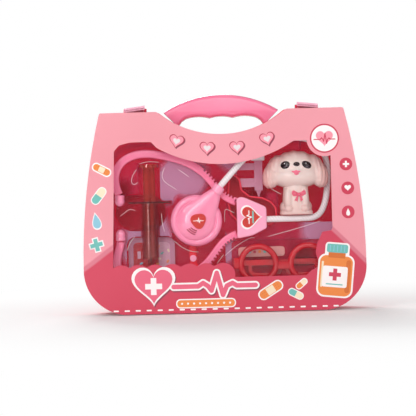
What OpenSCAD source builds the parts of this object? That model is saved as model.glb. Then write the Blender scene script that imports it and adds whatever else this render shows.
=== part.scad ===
// Toy doctor case: a carry case with a printed front card, a clear hinged cover and a tray of toys.
// X runs to the right, -Y is the front, Z is up. The origin is under the middle of the case, on the ground.

/* [Case] */
// Half of the front card's width at its widest
card_half_w = 141.5; // [135:0.5:150]
// Height of the card's straight top edge
card_top = 202.5; // [200:0.5:206]
// Depth of the whole case
case_depth = 66; // [64:1:80]
// Radius of the card's lower corners
corner_r = 45; // [35:1:55]
// Radius of the slightly bowed sides
side_r = 650; // [500:10:1200]
// Radius of the hollow under the handle
dip_r = 100; // [92:1:106]
// How far the centre of that hollow stands above the card's top
dip_rise = 76.3; // [74:0.1:80]
// Radius that softens the two shoulders beside the hollow
shoulder_r = 6; // [3:0.5:9]
// How far the clear case stands out around the card
rim = 1.2; // [0.6:0.1:2]
// Thickness of the printed card
card_t = 0.6; // [0.3:0.1:1.2]
// Wall of the clear front cover
cover_wall = 1.5; // [1.2:0.1:2]
// Wall of the back shell
shell_wall = 1.8; // [1.4:0.1:2.2]
// Depth position of the plane where the cover meets the shell
part_y = -4; // [-6:0.5:-2]
// Gap between the cover and the shell when closed
part_gap = 0.2; // [0.1:0.05:0.4]
// Height of the underside of the cover and the shell
case_floor = 6.2; // [6:0.1:8]
// Gap between the card's lower edge and the ground
card_lift = 0.5; // [0.3:0.1:1]

/* [Hinge and latches] */
// Distance of each cover hinge from the middle
hinge_x = 70; // [50:1:85]
// Radius of the hinge knuckles
knuckle_r = 2.7; // [2.2:0.1:2.8]
// Width of one hinge knuckle
knuckle_w = 11.6; // [8:0.1:16]
// Radius of the hinge pins
pin_r = 1.2; // [0.8:0.1:1.5]
// Distance of each latch from the middle
latch_x = 87.5; // [80:0.5:100]
// Width of a latch
latch_w = 18; // [14:0.5:22]
// Thickness of a latch plate
latch_t = 2.6; // [2:0.1:3.2]
// Radius of a latch pin
latch_pin_r = 1; // [0.7:0.1:1.2]
// Radial clearance where a part turns or slides on another
run_gap = 0.06; // [0.03:0.01:0.1]
// Radial clearance where a pin is pushed in to stay
fixed_gap = 0.02; // [0.01:0.01:0.03]
// Clearance between moving faces
face_gap = 0.3; // [0.2:0.05:0.5]

/* [Handle] */
// How far the top of the handle stands above the card's top
handle_rise = 17.9; // [12:0.1:22]
// Radius of the handle's upper curve
handle_r = 110; // [100:1:125]
// How far the underside between the finger scallops lies below the card's top
handle_drop = 5.9; // [5:0.1:10]
// Depth of the handle from front to back
handle_depth = 20; // [14:0.5:24]
// Distance between the finger scallops
scallop_pitch = 23.5; // [20:0.5:26]

/* [Tray] */
// Wall of the thermoformed tray
tray_wall = 0.8; // [0.5:0.1:1.2]
// Depth position of the tray's main face
tray_y = -12; // [-14:0.5:-11]
// Clearance around a toy in its pocket
pocket_gap = 1; // [0.5:0.1:2]
// Radius of the standing cups that rest on the back wall
cup_r = 7; // [5:0.5:9]

/* [Stethoscope] */
// Radius of the chest piece
chest_r = 26; // [22:0.5:28]
// Radius of its flexible tube
tube_r = 3.2; // [2.6:0.1:3.4]
// Width of the headset arms
arm_w = 7.8; // [6:0.2:9]
// Thickness of the headset arms
arm_t = 6.5; // [4:0.1:6.8]
// Radius of an ear tip
ear_tip_r = 5.2; // [4:0.1:5.6]
// Thickness of the yoke
yoke_t = 12; // [9:0.5:13]

/* [Syringe] */
// Outer radius of the syringe barrel
barrel_r = 8.35; // [7:0.05:8.6]
// Wall of the barrel
barrel_wall = 1.25; // [0.8:0.05:1.6]
// Width of the finger flange
flange_w = 43; // [36:0.5:44]
// Radius of the thumb rest
thumb_r = 10; // [8:0.2:10.4]
// How far the plunger is drawn out
plunger_out = 26; // [15:0.5:27]

/* [Glasses] */
// Radius of a rim at the middle of its wire
rim_ring_r = 18.4; // [16:0.1:18.6]
// Radius of the rim's wire
rim_wire_r = 2.5; // [1.8:0.1:2.6]
// Distance between the centres of the two rims
rim_pitch = 50.4; // [48:0.2:52]
// Thickness of a temple
temple_t = 3; // [2:0.1:3.2]

/* [Puppy] */
// Width of the puppy's head without its ears
head_w = 52; // [46:1:54]
// Radius of the puppy's head, seen from the side
head_r = 20; // [17:0.5:20.5]

/* [Small toys] */
// Width of the pill box
pill_w = 48; // [40:1:49]
// Height of the pill box
pill_h = 45; // [38:1:46]
// Depth of the pill box
pill_d = 22; // [16:0.5:24]
// Wall of the pill box
pill_wall = 1.4; // [1:0.1:2]
// Wall of the two dishes
dish_wall = 1.6; // [1:0.1:2.2]
// Thickness of one scissor blade
blade_t = 2; // [1.4:0.1:2.2]
// Radius of the scissor rivet
rivet_r = 2; // [1.5:0.1:2.4]

/* [Hidden] */
$fn = 48;

pink = [1, 0.55, 0.7];
deep_pink = [0.93, 0.4, 0.55];
raspberry = [0.72, 0.16, 0.3];
red_clear = [0.75, 0.1, 0.15, 0.7];
clear = [0.95, 0.88, 0.93, 0.35];
cream = [0.97, 0.92, 0.88];
black = [0.08, 0.06, 0.07];

// Depth positions of the case, front to back
case_front = -case_depth / 2;
cover_front = case_front + card_t;
pane_inside = cover_front + cover_wall;
cover_back = part_y - part_gap / 2;
shell_front = part_y + part_gap / 2;
case_back = case_depth / 2;
back_inside = case_back - shell_wall;
lip_gap = 0.4;
lip_t = 1.2;
lip_h = 2.4;
case_top = card_top + rim;
dip_centre_z = card_top + dip_rise;
far = 400;

// Stands a drawing up in the XZ plane and gives it depth from y0 to y1
module slab(y0, y1) translate([0, y1, 0]) rotate([90, 0, 0]) linear_extrude(y1 - y0) children();

// The same with both faces' edges rounded in two steps
module soft_slab(y0, y1, r) {
    slab(y0 + r / 2, y1 - r / 2) children();
    slab(y0, y1) offset(r = -r / 2) children();
}

module ring_2d(wall) difference() { children(); offset(r = -wall) children(); }

function arc(centre, r, a0, a1, n) =
    [for (i = [0:n]) let (a = a0 + (a1 - a0) * i / n) centre + r * [cos(a), sin(a)]];
function mirrored(points) = [for (i = [len(points) - 1:-1:0]) [-points[i][0], points[i][1]]];
function between(a, b, t) = a + (b - a) * t;
function unit(v) = v / norm(v);

// Outline of the printed card without its window
side_top_angle = asin((card_top - corner_r) / side_r);
card_right = concat(arc([card_half_w - corner_r, corner_r], corner_r, -90, 0, 20),
    arc([card_half_w - side_r, corner_r], side_r, side_top_angle / 8, side_top_angle, 7));
top_corner_r = 2.5;

module dip_2d() offset(r = -shoulder_r) offset(r = shoulder_r) {
    translate([0, dip_centre_z]) circle(dip_r, $fn = 120);
    translate([-far / 2, card_top]) square([far, 90]);
}

module card_outline_2d() difference() {
    offset(r = top_corner_r) offset(r = -top_corner_r) polygon(concat(card_right, mirrored(card_right)));
    dip_2d();
}

module above_2d(z) translate([-far / 2, z]) square([far, far]);
module apron_2d() intersection() { offset(r = rim) card_outline_2d(); above_2d(card_lift); }
module case_2d() intersection() { offset(r = rim) card_outline_2d(); above_2d(case_floor); }

// Window of the card: its top follows the hollow under the handle
window_left = 112;
window_right = 108.3;
window_top_left = 172.6;
window_top_right = 170.3;
window_dip_r = 130;
window_bottom = 35.4;
badge_pos = [102.6, 171.8];
badge_tab_r = 18;
bump_r = 12;
bump_top = 50;
bump_pitch = 17;
bump_count = 7;

module window_2d() {
    a0 = 270 - asin(65.5 / window_dip_r);
    a1 = 270 + asin(62 / window_dip_r);
    right_tab = [[98, 78.3], [92.3, 66], [91, 58], [94.5, 44], [86, 40], [81.6, window_bottom]];
    difference() {
        offset(r = 3) offset(r = -3) polygon(concat(
            [[-window_left, window_bottom], [-window_left, 49], [-window_right, 164], [-103, 170],
                [-92, window_top_left], [-71, window_top_left]],
            arc([0, dip_centre_z], window_dip_r, a0, a1, 24),
            [[72, window_top_right], [window_right, window_top_right], [window_right, 80]],
            right_tab));
        translate(badge_pos) circle(badge_tab_r);
        offset(r = -2) offset(r = 2) {
            for (i = [0:bump_count - 1])
                translate([-window_left + bump_r - 4 + i * bump_pitch, bump_top - bump_r]) circle(bump_r);
            translate([-window_left - 8, 0]) square([bump_count * bump_pitch + 6, bump_top - bump_r - 4]);
        }
    }
}

module front_card() color(pink) slab(case_front, cover_front) difference() {
    intersection() { card_outline_2d(); above_2d(card_lift); }
    window_2d();
}

// Hinge between cover and shell, and the feet beside it
hinge_z = case_floor - knuckle_r - face_gap;
knuckle_pitch = knuckle_w + face_gap;
web_t = 2.3;
foot_w = 24;
foot_y = [14, 26];
cover_foot_y = [pane_inside - 0.5, pane_inside + 6];
foot_x = 106;

// A knuckle with its web up to the wall, side = -1 for the cover and 1 for the shell
module knuckle(x, side) {
    translate([x - knuckle_w / 2, part_y, hinge_z]) rotate([0, 90, 0]) cylinder(r = knuckle_r, h = knuckle_w);
    web_y = side < 0 ? part_y - knuckle_r : part_y + knuckle_r - web_t;
    translate([x - knuckle_w / 2, web_y, hinge_z]) cube([knuckle_w, web_t, case_floor - hinge_z + 0.5]);
}

module hinge_bores(r) for (s = [-1, 1]) translate([s * hinge_x - 2 * knuckle_w, part_y, hinge_z])
    rotate([0, 90, 0]) cylinder(r = r, h = 4 * knuckle_w);

module foot(y) for (s = [-1, 1]) translate([s * foot_x * 0.85 - foot_w / 2, y[0], 0])
    cube([foot_w, y[1] - y[0], case_floor + 0.5]);

module hinge_pins() color("silver") for (s = [-1, 1])
    translate([s * hinge_x - 1.5 * knuckle_pitch, part_y, hinge_z])
        rotate([0, 90, 0]) cylinder(r = pin_r, h = 3 * knuckle_pitch);

// Latches: a plate that turns on a pin behind the parting plane and lies over a rib on the cover
latch_barrel_r = 2.2;
latch_pin_y = part_y + 7.2;
latch_z = case_top + latch_barrel_r + face_gap;
rib_h = 1.3;
rib_t = 1.5;
rib_y = part_y - 5.3;
latch_reach = 2.3;
latch_under = case_top + rib_h + face_gap;
latch_front = rib_y - latch_reach;
ear_w = 2.4;
thumb_lift = 2.4;

module latch(side) {
    x0 = side * latch_x - latch_w / 2;
    difference() {
        union() {
            translate([x0, latch_front, latch_under]) cube([latch_w, latch_pin_y - latch_front, latch_t]);
            translate([x0, latch_front - thumb_lift, latch_under + latch_t / 2])
                cube([latch_w, thumb_lift + 1, latch_t / 2]);
            translate([x0, latch_pin_y, latch_z]) rotate([0, 90, 0])
                cylinder(r = latch_barrel_r, h = latch_w);
        }
        translate([x0 - 1, latch_pin_y, latch_z]) rotate([0, 90, 0])
            cylinder(r = latch_pin_r + run_gap, h = latch_w + 2);
    }
}

module latch_pin(side) translate([side * latch_x - latch_w / 2 - face_gap - ear_w, latch_pin_y, latch_z])
    rotate([0, 90, 0]) cylinder(r = latch_pin_r, h = latch_w + 2 * (face_gap + ear_w));

module latch_left() color(deep_pink) latch(-1);
module latch_right() color(deep_pink) latch(1);
module latch_pin_left() color("silver") latch_pin(-1);
module latch_pin_right() color("silver") latch_pin(1);

module latch_ears() for (s = [-1, 1], e = [-1, 1])
    translate([s * latch_x + e * (latch_w / 2 + face_gap + ear_w / 2) - ear_w / 2, latch_pin_y, 0]) {
        translate([0, 0, latch_z]) rotate([0, 90, 0]) cylinder(r = latch_barrel_r, h = ear_w);
        translate([0, -latch_barrel_r, case_top - 0.5])
            cube([ear_w, 2 * latch_barrel_r, latch_z - case_top + 0.5]);
    }

module front_cover() color(clear) difference() {
    union() {
        slab(cover_front, pane_inside) apron_2d();
        slab(pane_inside - 0.2, cover_back) ring_2d(cover_wall) case_2d();
        for (s = [-1, 1]) {
            knuckle(s * hinge_x, -1);
            translate([s * latch_x - latch_w / 2, rib_y, case_top - 0.5]) cube([latch_w, rib_t, rib_h + 0.5]);
        }
        foot(cover_foot_y);
    }
    hinge_bores(pin_r + run_gap);
}

// Handle: an arch over the hollow, with two tangs that plug into the shell
handle_y = [shell_front + face_gap, shell_front + face_gap + handle_depth];
tang_x = 51;
tang_w = 7;
tang_t = 8;
handle_top = card_top + handle_rise;
handle_under = card_top - handle_drop;
root_x = 43.2;
root_low = handle_under - 7;
tang_low = root_low - 5.2;
handle_clear = handle_under - 45;
scallop_r = 43;

module handle_under_2d() {
    polygon([[-36, handle_under], [36, handle_under], [root_x, root_low], [root_x, handle_clear],
        [-root_x, handle_clear], [-root_x, root_low]]);
    intersection() {
        for (i = [-1:1]) translate([i * scallop_pitch, handle_under + 2 - scallop_r])
            circle(scallop_r, $fn = 160);
        translate([-37, handle_under - 15]) square([74, 25]);
    }
}

module handle_2d() difference() {
    translate([0, handle_top - handle_r]) circle(handle_r, $fn = 180);
    offset(r = 1) offset(r = -1) handle_under_2d();
    translate([-far / 2, -far / 2]) square([far, far / 2 + handle_clear]);
    case_2d();
    for (s = [-1, 1]) translate([s * far / 2 + s * 62 - far / 2, 0]) square([far, 300]);
}

module tangs(gap) for (s = [-1, 1]) translate([s * (tang_x + tang_w / 2) - tang_w / 2 - gap,
        (handle_y[0] + handle_y[1] - tang_t) / 2 - gap, tang_low - gap])
    cube([tang_w + 2 * gap, tang_t + 2 * gap, 17 + 2 * gap]);

module handle() color(pink) {
    difference() {
        soft_slab(handle_y[0], handle_y[1], 4) handle_2d();
        tangs(0);
    }
    tangs(0);
}

module back_shell() color(raspberry) difference() {
    union() {
        slab(back_inside, case_back) case_2d();
        slab(shell_front, back_inside + 0.2) ring_2d(shell_wall) case_2d();
        slab(shell_front, shell_front + 4) ring_2d(shell_wall + lip_gap + lip_t) case_2d();
        slab(part_y - lip_h, shell_front + 1) ring_2d(lip_t) offset(r = -shell_wall - lip_gap) case_2d();
        for (s = [-1, 1], e = [-1, 1]) knuckle(s * hinge_x + e * knuckle_pitch, 1);
        latch_ears();
        foot(foot_y);
    }
    hinge_bores(pin_r + fixed_gap);
    tangs(0.1);
    for (s = [-1, 1]) translate([s * latch_x - latch_w, latch_pin_y, latch_z]) rotate([0, 90, 0])
        cylinder(r = latch_pin_r + fixed_gap, h = 2 * latch_w);
}

// Stethoscope: chest piece in front, headset behind it, the tube round the right side
chest_pos = [-27.6, 92.8];
socket_angle = 54;
socket_dir = [cos(socket_angle), sin(socket_angle)];
socket_start = 34;
socket_r = 5.4;
socket_l = 8;
socket_y = pane_inside + 0.8 + socket_r;
neck_r = 15;
chest_front = pane_inside + 1.5;
chest_step = 5.5;
chest_back = tray_y - 1.5;
neck_back = tray_y - arm_t - 0.8;
socket_end = chest_pos + socket_dir * (socket_start + socket_l);

module neck_2d() hull() {
    translate(chest_pos) circle(neck_r);
    translate(chest_pos + socket_dir * socket_start) circle(socket_r);
}

module chest_piece() color(pink) {
    soft_slab(chest_front + chest_step, chest_back, 3) translate(chest_pos) circle(chest_r, $fn = 96);
    slab(chest_front + chest_step - 1.5, chest_back - 1) translate(chest_pos)
        circle(chest_r * 0.72, $fn = 96);
    soft_slab(chest_front, neck_back, 3) neck_2d();
    socket = chest_pos + socket_dir * socket_start;
    translate([socket[0], socket_y, socket[1]]) rotate([0, 90 - socket_angle, 0])
        cylinder(r = socket_r, h = socket_l);
}

module diaphragm() color("white") slab(chest_back, tray_y) translate(chest_pos)
    circle(chest_r * 0.86, $fn = 96);

module heart_2d(w) {
    r = w * 0.27;
    for (s = [-1, 1]) translate([s * w * 0.23, w * 0.18]) circle(r);
    polygon([[-w * 0.46, w * 0.04], [0, -w * 0.46], [w * 0.46, w * 0.04], [0, w * 0.3]]);
}

module chest_sticker() color("red") slab(chest_front - 0.3, chest_front) translate(chest_pos)
    rotate(-20) heart_2d(16);

// Route of the tube from the chest piece to the yoke
yoke_mid_y = tray_y - yoke_t / 2;
yoke_right = 43.1;
tube_start = socket_end;
tube_route = [
    [tube_start[0], socket_y, tube_start[1]],
    [tube_start[0] + 5 * socket_dir[0], socket_y, tube_start[1] + 5 * socket_dir[1]],
    [9, -24, 140], [20, -23, 152], [31, -21, 162], [43, -19, 169], [57, -17, 173], [71, -16, 174.5],
    [84, -15.4, 173.5], [94, -10.5, 169.5], [101, -5.5, 163], [105, -2.8, 155], [107, -1.6, 146],
    [107.2, -1.6, 136], [106.6, -1.8, 126], [105.4, -3, 116], [103.6, -5, 108], [100.8, -7.8, 101],
    [97, -10.5, 95.8], [91.5, -12.8, 92.9], [84, -15.2, 92.3], [71, -16.2, 92.3], [58, -17, 92.3],
    [yoke_right + 5, yoke_mid_y, 92.3], [yoke_right, yoke_mid_y, 92.3]];
tube_sides = 10;

function tube_dir(p, i) = unit(p[min(i + 1, len(p) - 1)] - p[max(i - 1, 0)]);
function smooth(p) = [for (i = [0:len(p) - 2], t = [0, 0.5])
        let (a = p[max(i - 1, 0)], b = p[i], c = p[i + 1], d = p[min(i + 2, len(p) - 1)])
        t == 0 ? b : i == 0 || i == len(p) - 2 ? (b + c) / 2 : (9 * (b + c) - a - d) / 16];
function tube_ring(c, d, r, n) = let (u = unit(cross(d, [0, 1, 0])), v = cross(u, d))
    [for (k = [0:n - 1]) c + r * (cos(360 * k / n) * u + sin(360 * k / n) * v)];

module swept_tube(p, r, n) {
    rings = len(p);
    points = [for (i = [0:rings - 1]) each tube_ring(p[i], tube_dir(p, i), r, n)];
    sides = [for (i = [0:rings - 2], k = [0:n - 1]) let (a = i * n + k, b = i * n + (k + 1) % n)
        each [[a, a + n, b], [b, a + n, b + n]]];
    caps = [[for (k = [0:n - 1]) k], [for (k = [n - 1:-1:0]) (rings - 1) * n + k]];
    polyhedron(points, concat(sides, caps));
}

module steth_tube() color("white")
    swept_tube(concat(smooth(tube_route), [tube_route[len(tube_route) - 1]]), tube_r, tube_sides);

yoke_left = 13.2;
headset_axis_z = 94.3;

module yoke_2d() offset(r = 2.5) offset(r = -2.5) polygon([[yoke_left, 113.3], [28, 114], [yoke_right, 101.5],
    [yoke_right, 83.5], [29, 76.5], [yoke_left, 73.6]]);
module yoke() color(pink) soft_slab(tray_y - yoke_t, tray_y, 2) yoke_2d();
module yoke_sticker() color("red") slab(tray_y - yoke_t - 0.3, tray_y - yoke_t)
    translate([27.5, 94.8]) rotate(90) heart_2d(23);

// Headset arms: a band along a drawn line, notched on its outer side near the yoke
arm_line = [[13.2, 110.6], [6, 113.6], [-0.5, 118], [-5.5, 123.8], [-10.2, 130], [-15, 136.2], [-20.5, 141.8],
    [-29, 148], [-40, 153.4], [-51, 157], [-61, 159.2], [-71, 161], [-81, 161.5], [-90, 160], [-98, 156.5],
    [-104, 151], [-107.6, 144.5], [-109, 137], [-108.3, 129.5], [-106, 122.5], [-104.4, 118.5]];
// Height where the arms end at their ear tips, and how far both tips lie above it
arm_end = 118.5;
ear_lift = 2.7;
notch_pitch = 4.7;
notch_count = 9;
notch_r = 1.25;

function line_at(p, s, i = 0) = let (l = norm(p[i + 1] - p[i]))
    s <= l || i >= len(p) - 2 ? concat([between(p[i], p[i + 1], s / l)], [unit(p[i + 1] - p[i])])
    : line_at(p, s - l, i + 1);

module arm_2d(end) difference() {
    offset(r = arm_w / 2 - 0.1) polygon(concat(arm_line, [for (i = [len(arm_line) - 1:-1:0])
        arm_line[i] + [0.1, 0.1]]));
    for (i = [0:notch_count - 1]) let (at = line_at(arm_line, 6 + i * notch_pitch), d = at[1])
        translate(at[0] + [d[1], -d[0]] * arm_w / 2 * -1 * sign(d[0])) circle(notch_r, $fn = 16);
    translate([yoke_left, 60]) square([20, 80]);
    translate([-130, 60]) square([60, end - 60]);
}

module arm(end) slab(tray_y - arm_t, tray_y) arm_2d(end);
module other_arm() translate([0, 0, 2 * headset_axis_z]) mirror([0, 0, 1]) children();
module headset_arm_upper() color(pink) arm(arm_end + ear_lift);
module headset_arm_lower() color(pink) other_arm() arm(arm_end - ear_lift);

ear_tip_pos = [-104.4, tray_y - ear_tip_r, 112.6];
module ear_tip() {
    translate(ear_tip_pos) sphere(ear_tip_r);
    translate(ear_tip_pos) cylinder(r = 2.2, h = arm_end - ear_tip_pos[2]);
}
module ear_tip_upper() color(deep_pink) translate([0, 0, ear_lift]) ear_tip();
module ear_tip_lower() color(deep_pink) other_arm() translate([0, 0, -ear_lift]) ear_tip();

// Syringe, upright in the left of the tray
syringe_x = -74.5;
syringe_y = tray_y - 4;
barrel_low = 55.2;
barrel_top = 112.7;
flange_t = 1.6;
flange_d = 17;
nozzle_r = 3.5;
nozzle_low = 45;
seal_h = 6;
seal_low = barrel_low + barrel_wall + plunger_out + 1;
rod_w = 12;
rod_t = 1.8;
thumb_t = 3.5;
thumb_low = 147;

module syringe_barrel() color(red_clear) translate([syringe_x, syringe_y, 0]) difference() {
    union() {
        translate([0, 0, barrel_low]) cylinder(r = barrel_r, h = barrel_top - barrel_low);
        translate([0, 0, nozzle_low])
            cylinder(r1 = nozzle_r * 0.7, r2 = nozzle_r, h = barrel_low - nozzle_low + 0.5);
        translate([0, 0, barrel_top - flange_t]) linear_extrude(flange_t) offset(r = 4)
            square([flange_w - 8, flange_d - 8], center = true);
    }
    translate([0, 0, barrel_low + barrel_wall])
        cylinder(r = barrel_r - barrel_wall, h = barrel_top - barrel_low);
    translate([0, 0, nozzle_low - 1]) cylinder(r = 1.2, h = barrel_low - nozzle_low + 4);
}

module syringe_plunger() color(red_clear) translate([syringe_x, syringe_y, 0]) {
    translate([0, 0, seal_low + seal_h]) {
        linear_extrude(thumb_low - seal_low - seal_h + 0.5) {
            square([rod_w, rod_t], center = true);
            square([rod_t, rod_w], center = true);
        }
        cylinder(r = rod_w / 2, h = rod_t);
    }
    translate([0, 0, thumb_low]) cylinder(r = thumb_r, h = thumb_t);
}

module plunger_seal() color([0.4, 0.05, 0.08]) translate([syringe_x, syringe_y, seal_low])
    cylinder(r = barrel_r - barrel_wall - run_gap, h = seal_h);

// Glasses with folded temples
glasses_x = 59;
glasses_z = 47.4;
frame_y = tray_y - 9.5;
left_temple_y = frame_y + rim_wire_r + 0.6;
right_temple_y = left_temple_y + temple_t + 0.4;
block_w = 5.5;
block_x = rim_pitch / 2 + rim_ring_r + rim_wire_r - 1.5;
temple_pin_x = block_x + block_w / 2;
temple_pin_r = 0.8;
temple_knuckle_r = temple_t / 2;
temple_low = glasses_z - 1.8;
temple_high = glasses_z + 4.2;
loop_l = 34;
loop_low = glasses_z - 13;
loop_wire = 3.6;

// Hinge block at one end of the frame, side = -1 at the left, back = where its temple lies
module glasses_block(side, back) {
    ear_h = 2.4;
    translate([glasses_x + side * temple_pin_x - block_w / 2, frame_y - rim_wire_r, temple_low - ear_h])
        cube([block_w, 2 * rim_wire_r, temple_high - temple_low + 2 * ear_h]);
    for (z = [temple_low - ear_h, temple_high]) difference() {
        union() {
            translate([glasses_x + side * temple_pin_x - temple_knuckle_r, frame_y, z])
                cube([2 * temple_knuckle_r, back + temple_t / 2 - frame_y, ear_h]);
            translate([glasses_x + side * temple_pin_x, back + temple_t / 2, z])
                cylinder(r = temple_knuckle_r, h = ear_h);
        }
        translate([glasses_x + side * temple_pin_x, back + temple_t / 2, z - 1])
            cylinder(r = temple_pin_r + fixed_gap, h = ear_h + 2);
    }
}

module glasses_frame() color("red") {
    for (s = [-1, 1]) translate([glasses_x + s * rim_pitch / 2, frame_y, glasses_z]) rotate([90, 0, 0])
        rotate_extrude($fn = 72) translate([rim_ring_r, 0]) circle(rim_wire_r, $fn = 24);
    bridge_w = rim_pitch - 2 * rim_ring_r;
    translate([glasses_x - bridge_w / 2, frame_y - 2, glasses_z - 5.6]) cube([bridge_w, 4, 7.4]);
    glasses_block(-1, left_temple_y);
    glasses_block(1, right_temple_y);
}

module temple_2d() {
    band_l = 2 * temple_pin_x - loop_l - 12;
    translate([0, temple_low + 0.3]) square([band_l + 4, temple_high - temple_low - 0.6]);
    translate([band_l, 0]) ring_2d(loop_wire) translate([8, loop_low + 8]) offset(r = 8)
        square([loop_l - 16, temple_high - loop_low - 16]);
}

module temple(back) difference() {
    union() {
        slab(back, back + temple_t) temple_2d();
        translate([0, back + temple_t / 2, temple_low + 0.3])
            cylinder(r = temple_knuckle_r, h = temple_high - temple_low - 0.6);
    }
    translate([0, back + temple_t / 2, 0]) cylinder(r = temple_pin_r + run_gap, h = 100);
}

module temple_left() color("red") translate([glasses_x - temple_pin_x, 0, 0]) temple(left_temple_y);
module temple_right() color("red") translate([glasses_x + temple_pin_x, 0, 0]) mirror([1, 0, 0])
    temple(right_temple_y);
module temple_pins() color("silver") for (s = [-1, 1])
    translate([glasses_x + s * temple_pin_x, (s < 0 ? left_temple_y : right_temple_y) + temple_t / 2,
        temple_low - 2.4]) cylinder(r = temple_pin_r, h = temple_high - temple_low + 4.8);

// Puppy figure
puppy_x = 73.7;
head_z = 140;
head_y = pane_inside + 1 + head_r;
puppy_foot = 96.1;
base_h = 4;
paw_x = 8;
paw_r = 4;
chest_top_r = 12.5;
chest_low_r = 15;

// An egg round the Z axis
module egg(r, half_l) rotate_extrude() polygon([for (i = [0:16]) let (a = -90 + i * 180 / 16)
    [r * cos(a), half_l * sin(a)]]);

module head_core(grow = 0) translate([puppy_x, head_y, head_z]) rotate([0, 90, 0])
    egg(head_r + grow, head_w / 2 + grow);
module head_shape() {
    head_core();
    for (s = [-1, 1]) translate([puppy_x + s * 26, head_y - 3, head_z - 2]) rotate([0, s * -8, 0])
        egg(7.2, 17);
}

module torso() translate([puppy_x, head_y, puppy_foot]) cylinder(r1 = chest_low_r, r2 = chest_top_r, h = 26);

module body_shape() {
    torso();
    translate([puppy_x - 17.5, head_y - 15, puppy_foot]) cube([35, 28, base_h]);
    for (s = [-1, 1]) {
        translate([puppy_x + s * paw_x, head_y - 15, puppy_foot + paw_r + 0.5]) sphere(paw_r);
        translate([puppy_x + s * paw_x, head_y - 12, puppy_foot]) cylinder(r = paw_r - 0.5, h = 20);
    }
}

// A raised oval on the front of the head
function face_y(x, z) = head_y - head_r * sqrt(1 - pow(2 * x / head_w, 2) - pow(z / head_r, 2));
module on_face(x, z, w, h, turn, proud) difference() {
    slab(face_y(x, z) - proud, face_y(x, z) + 3) translate([puppy_x + x, head_z + z]) rotate(turn)
        offset(r = h / 2, $fn = 24) square([w - h, 0.1], center = true);
    head_core(0.05);
}

module puppy_head() color(cream) head_shape();
module puppy_body() color(cream) difference() { body_shape(); head_shape(); }
module puppy_eyes() color(black) {
    on_face(-11, 5.6, 8.6, 6.6, 8, 0.5);
    on_face(10.4, 5.4, 9.6, 6.6, -25, 0.5);
}
module puppy_nose() color(black) on_face(0.9, 6.8, 5.6, 3.4, 0, 0.9);
module puppy_tongue() color(deep_pink) on_face(0.4, -1.4, 7, 4, 0, 0.4);

bow_pos = [76.3, 116];
module bow_2d() {
    for (s = [-1, 1]) {
        polygon([[0, 0.8], [s * 6.6, 4.4], [s * 7, 0], [s * 5.6, -1.6], [0, -0.8]]);
        polygon([[s * 0.4, 0], [s * 4.6, -6.4], [s * 1.6, -7]]);
    }
    circle(1.8);
}
module puppy_bow() color(deep_pink) difference() {
    slab(head_y - chest_low_r - 1.6, head_y - 6) translate(bow_pos) offset(r = 0.4) bow_2d();
    body_shape();
}

// Pill box behind the syringe: a box, a lid in front and a printed insert inside the lid
pill_pos = [-74, 54.5];
pill_back = tray_y + 30;
pill_front = pill_back - pill_d;
lid_d = 4;
pill_corner = 9;

module pill_2d() translate(pill_pos) offset(r = pill_corner)
    square([pill_w - 2 * pill_corner, pill_h - 2 * pill_corner], center = true);

module pill_box() color(clear) difference() {
    slab(pill_front + lid_d, pill_back) pill_2d();
    slab(pill_front, pill_back - pill_wall) offset(r = -pill_wall) pill_2d();
}

module pill_box_lid() color(clear) {
    difference() {
        slab(pill_front, pill_front + lid_d) pill_2d();
        slab(pill_front + pill_wall, pill_front + lid_d + 1) offset(r = -pill_wall) pill_2d();
    }
    slab(pill_front + pill_wall + 1.2, pill_front + lid_d + 2) ring_2d(pill_wall)
        offset(r = -pill_wall - 0.15) pill_2d();
    slab(pill_front + pill_wall + 1.2, pill_front + pill_wall + 1.8) ring_2d(pill_wall + 0.5)
        offset(r = -pill_wall + 0.2) pill_2d();
}

module pill_card() color("tomato") slab(pill_front + pill_wall, pill_front + pill_wall + card_t)
    offset(r = -pill_wall - 2) pill_2d();

// Two open dishes, one behind the yoke and one behind the syringe
dish_front = tray_y + 1;
kidney_back = tray_y + 19.5;
oval_front = tray_y + 7.2;
oval_back = tray_y + 22;
oval_pos = [-84, 102.5];

module kidney_2d() offset(r = 3) offset(r = -3) polygon([[4, 112], [6, 136], [11, 139], [17.5, 134],
    [19.5, 123], [27, 116.4], [40, 114.6], [49, 110], [54, 103], [54, 92], [48, 86], [16, 88], [7, 98]]);
module oval_2d() translate(oval_pos) hull() for (s = [-1, 1]) translate([s * 7.5, 0]) circle(18);

module dish(y0, y1) difference() {
    slab(y0, y1) children();
    slab(y0 - 1, y1 - dish_wall) offset(r = -dish_wall) children();
}
module kidney_dish() color("red") dish(dish_front, kidney_back) kidney_2d();
module oval_dish() color([0.55, 0.05, 0.12]) dish(oval_front, oval_back) oval_2d();

// Dropper with a finger rest on its left
dropper_x = 36.3;
dropper_w = 7.2;
dropper_y = [tray_y + 0.6, tray_y + 10];
dropper_mid = (dropper_y[0] + dropper_y[1]) / 2;

module dropper_body() color([0.85, 0.75, 0.88]) {
    soft_slab(dropper_y[0], dropper_y[1], 1.5) translate([dropper_x - dropper_w / 2, 121.5])
        square([dropper_w, 30.5]);
    slab(dropper_y[0] + 2, dropper_y[1] - 2) for (z = [134.5, 147]) translate([dropper_x - 18, z])
        square([15, 5]);
    translate([dropper_x, dropper_mid, 118.2]) cylinder(r = 3.2, h = 4);
    translate([dropper_x, dropper_mid, 115.6]) cylinder(r1 = 1, r2 = 1.6, h = 3);
}
module dropper_cap() color(cream) soft_slab(dropper_y[0], dropper_y[1], 1.5)
    translate([dropper_x - 6.5, 152]) square([13, 6]);

// Scissors under the chest piece
pivot = [-31.9, 54.5];
scissor_y = tray_y + 0.5;
blade_angle = 3;
blade_gap = 0.2;

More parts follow.
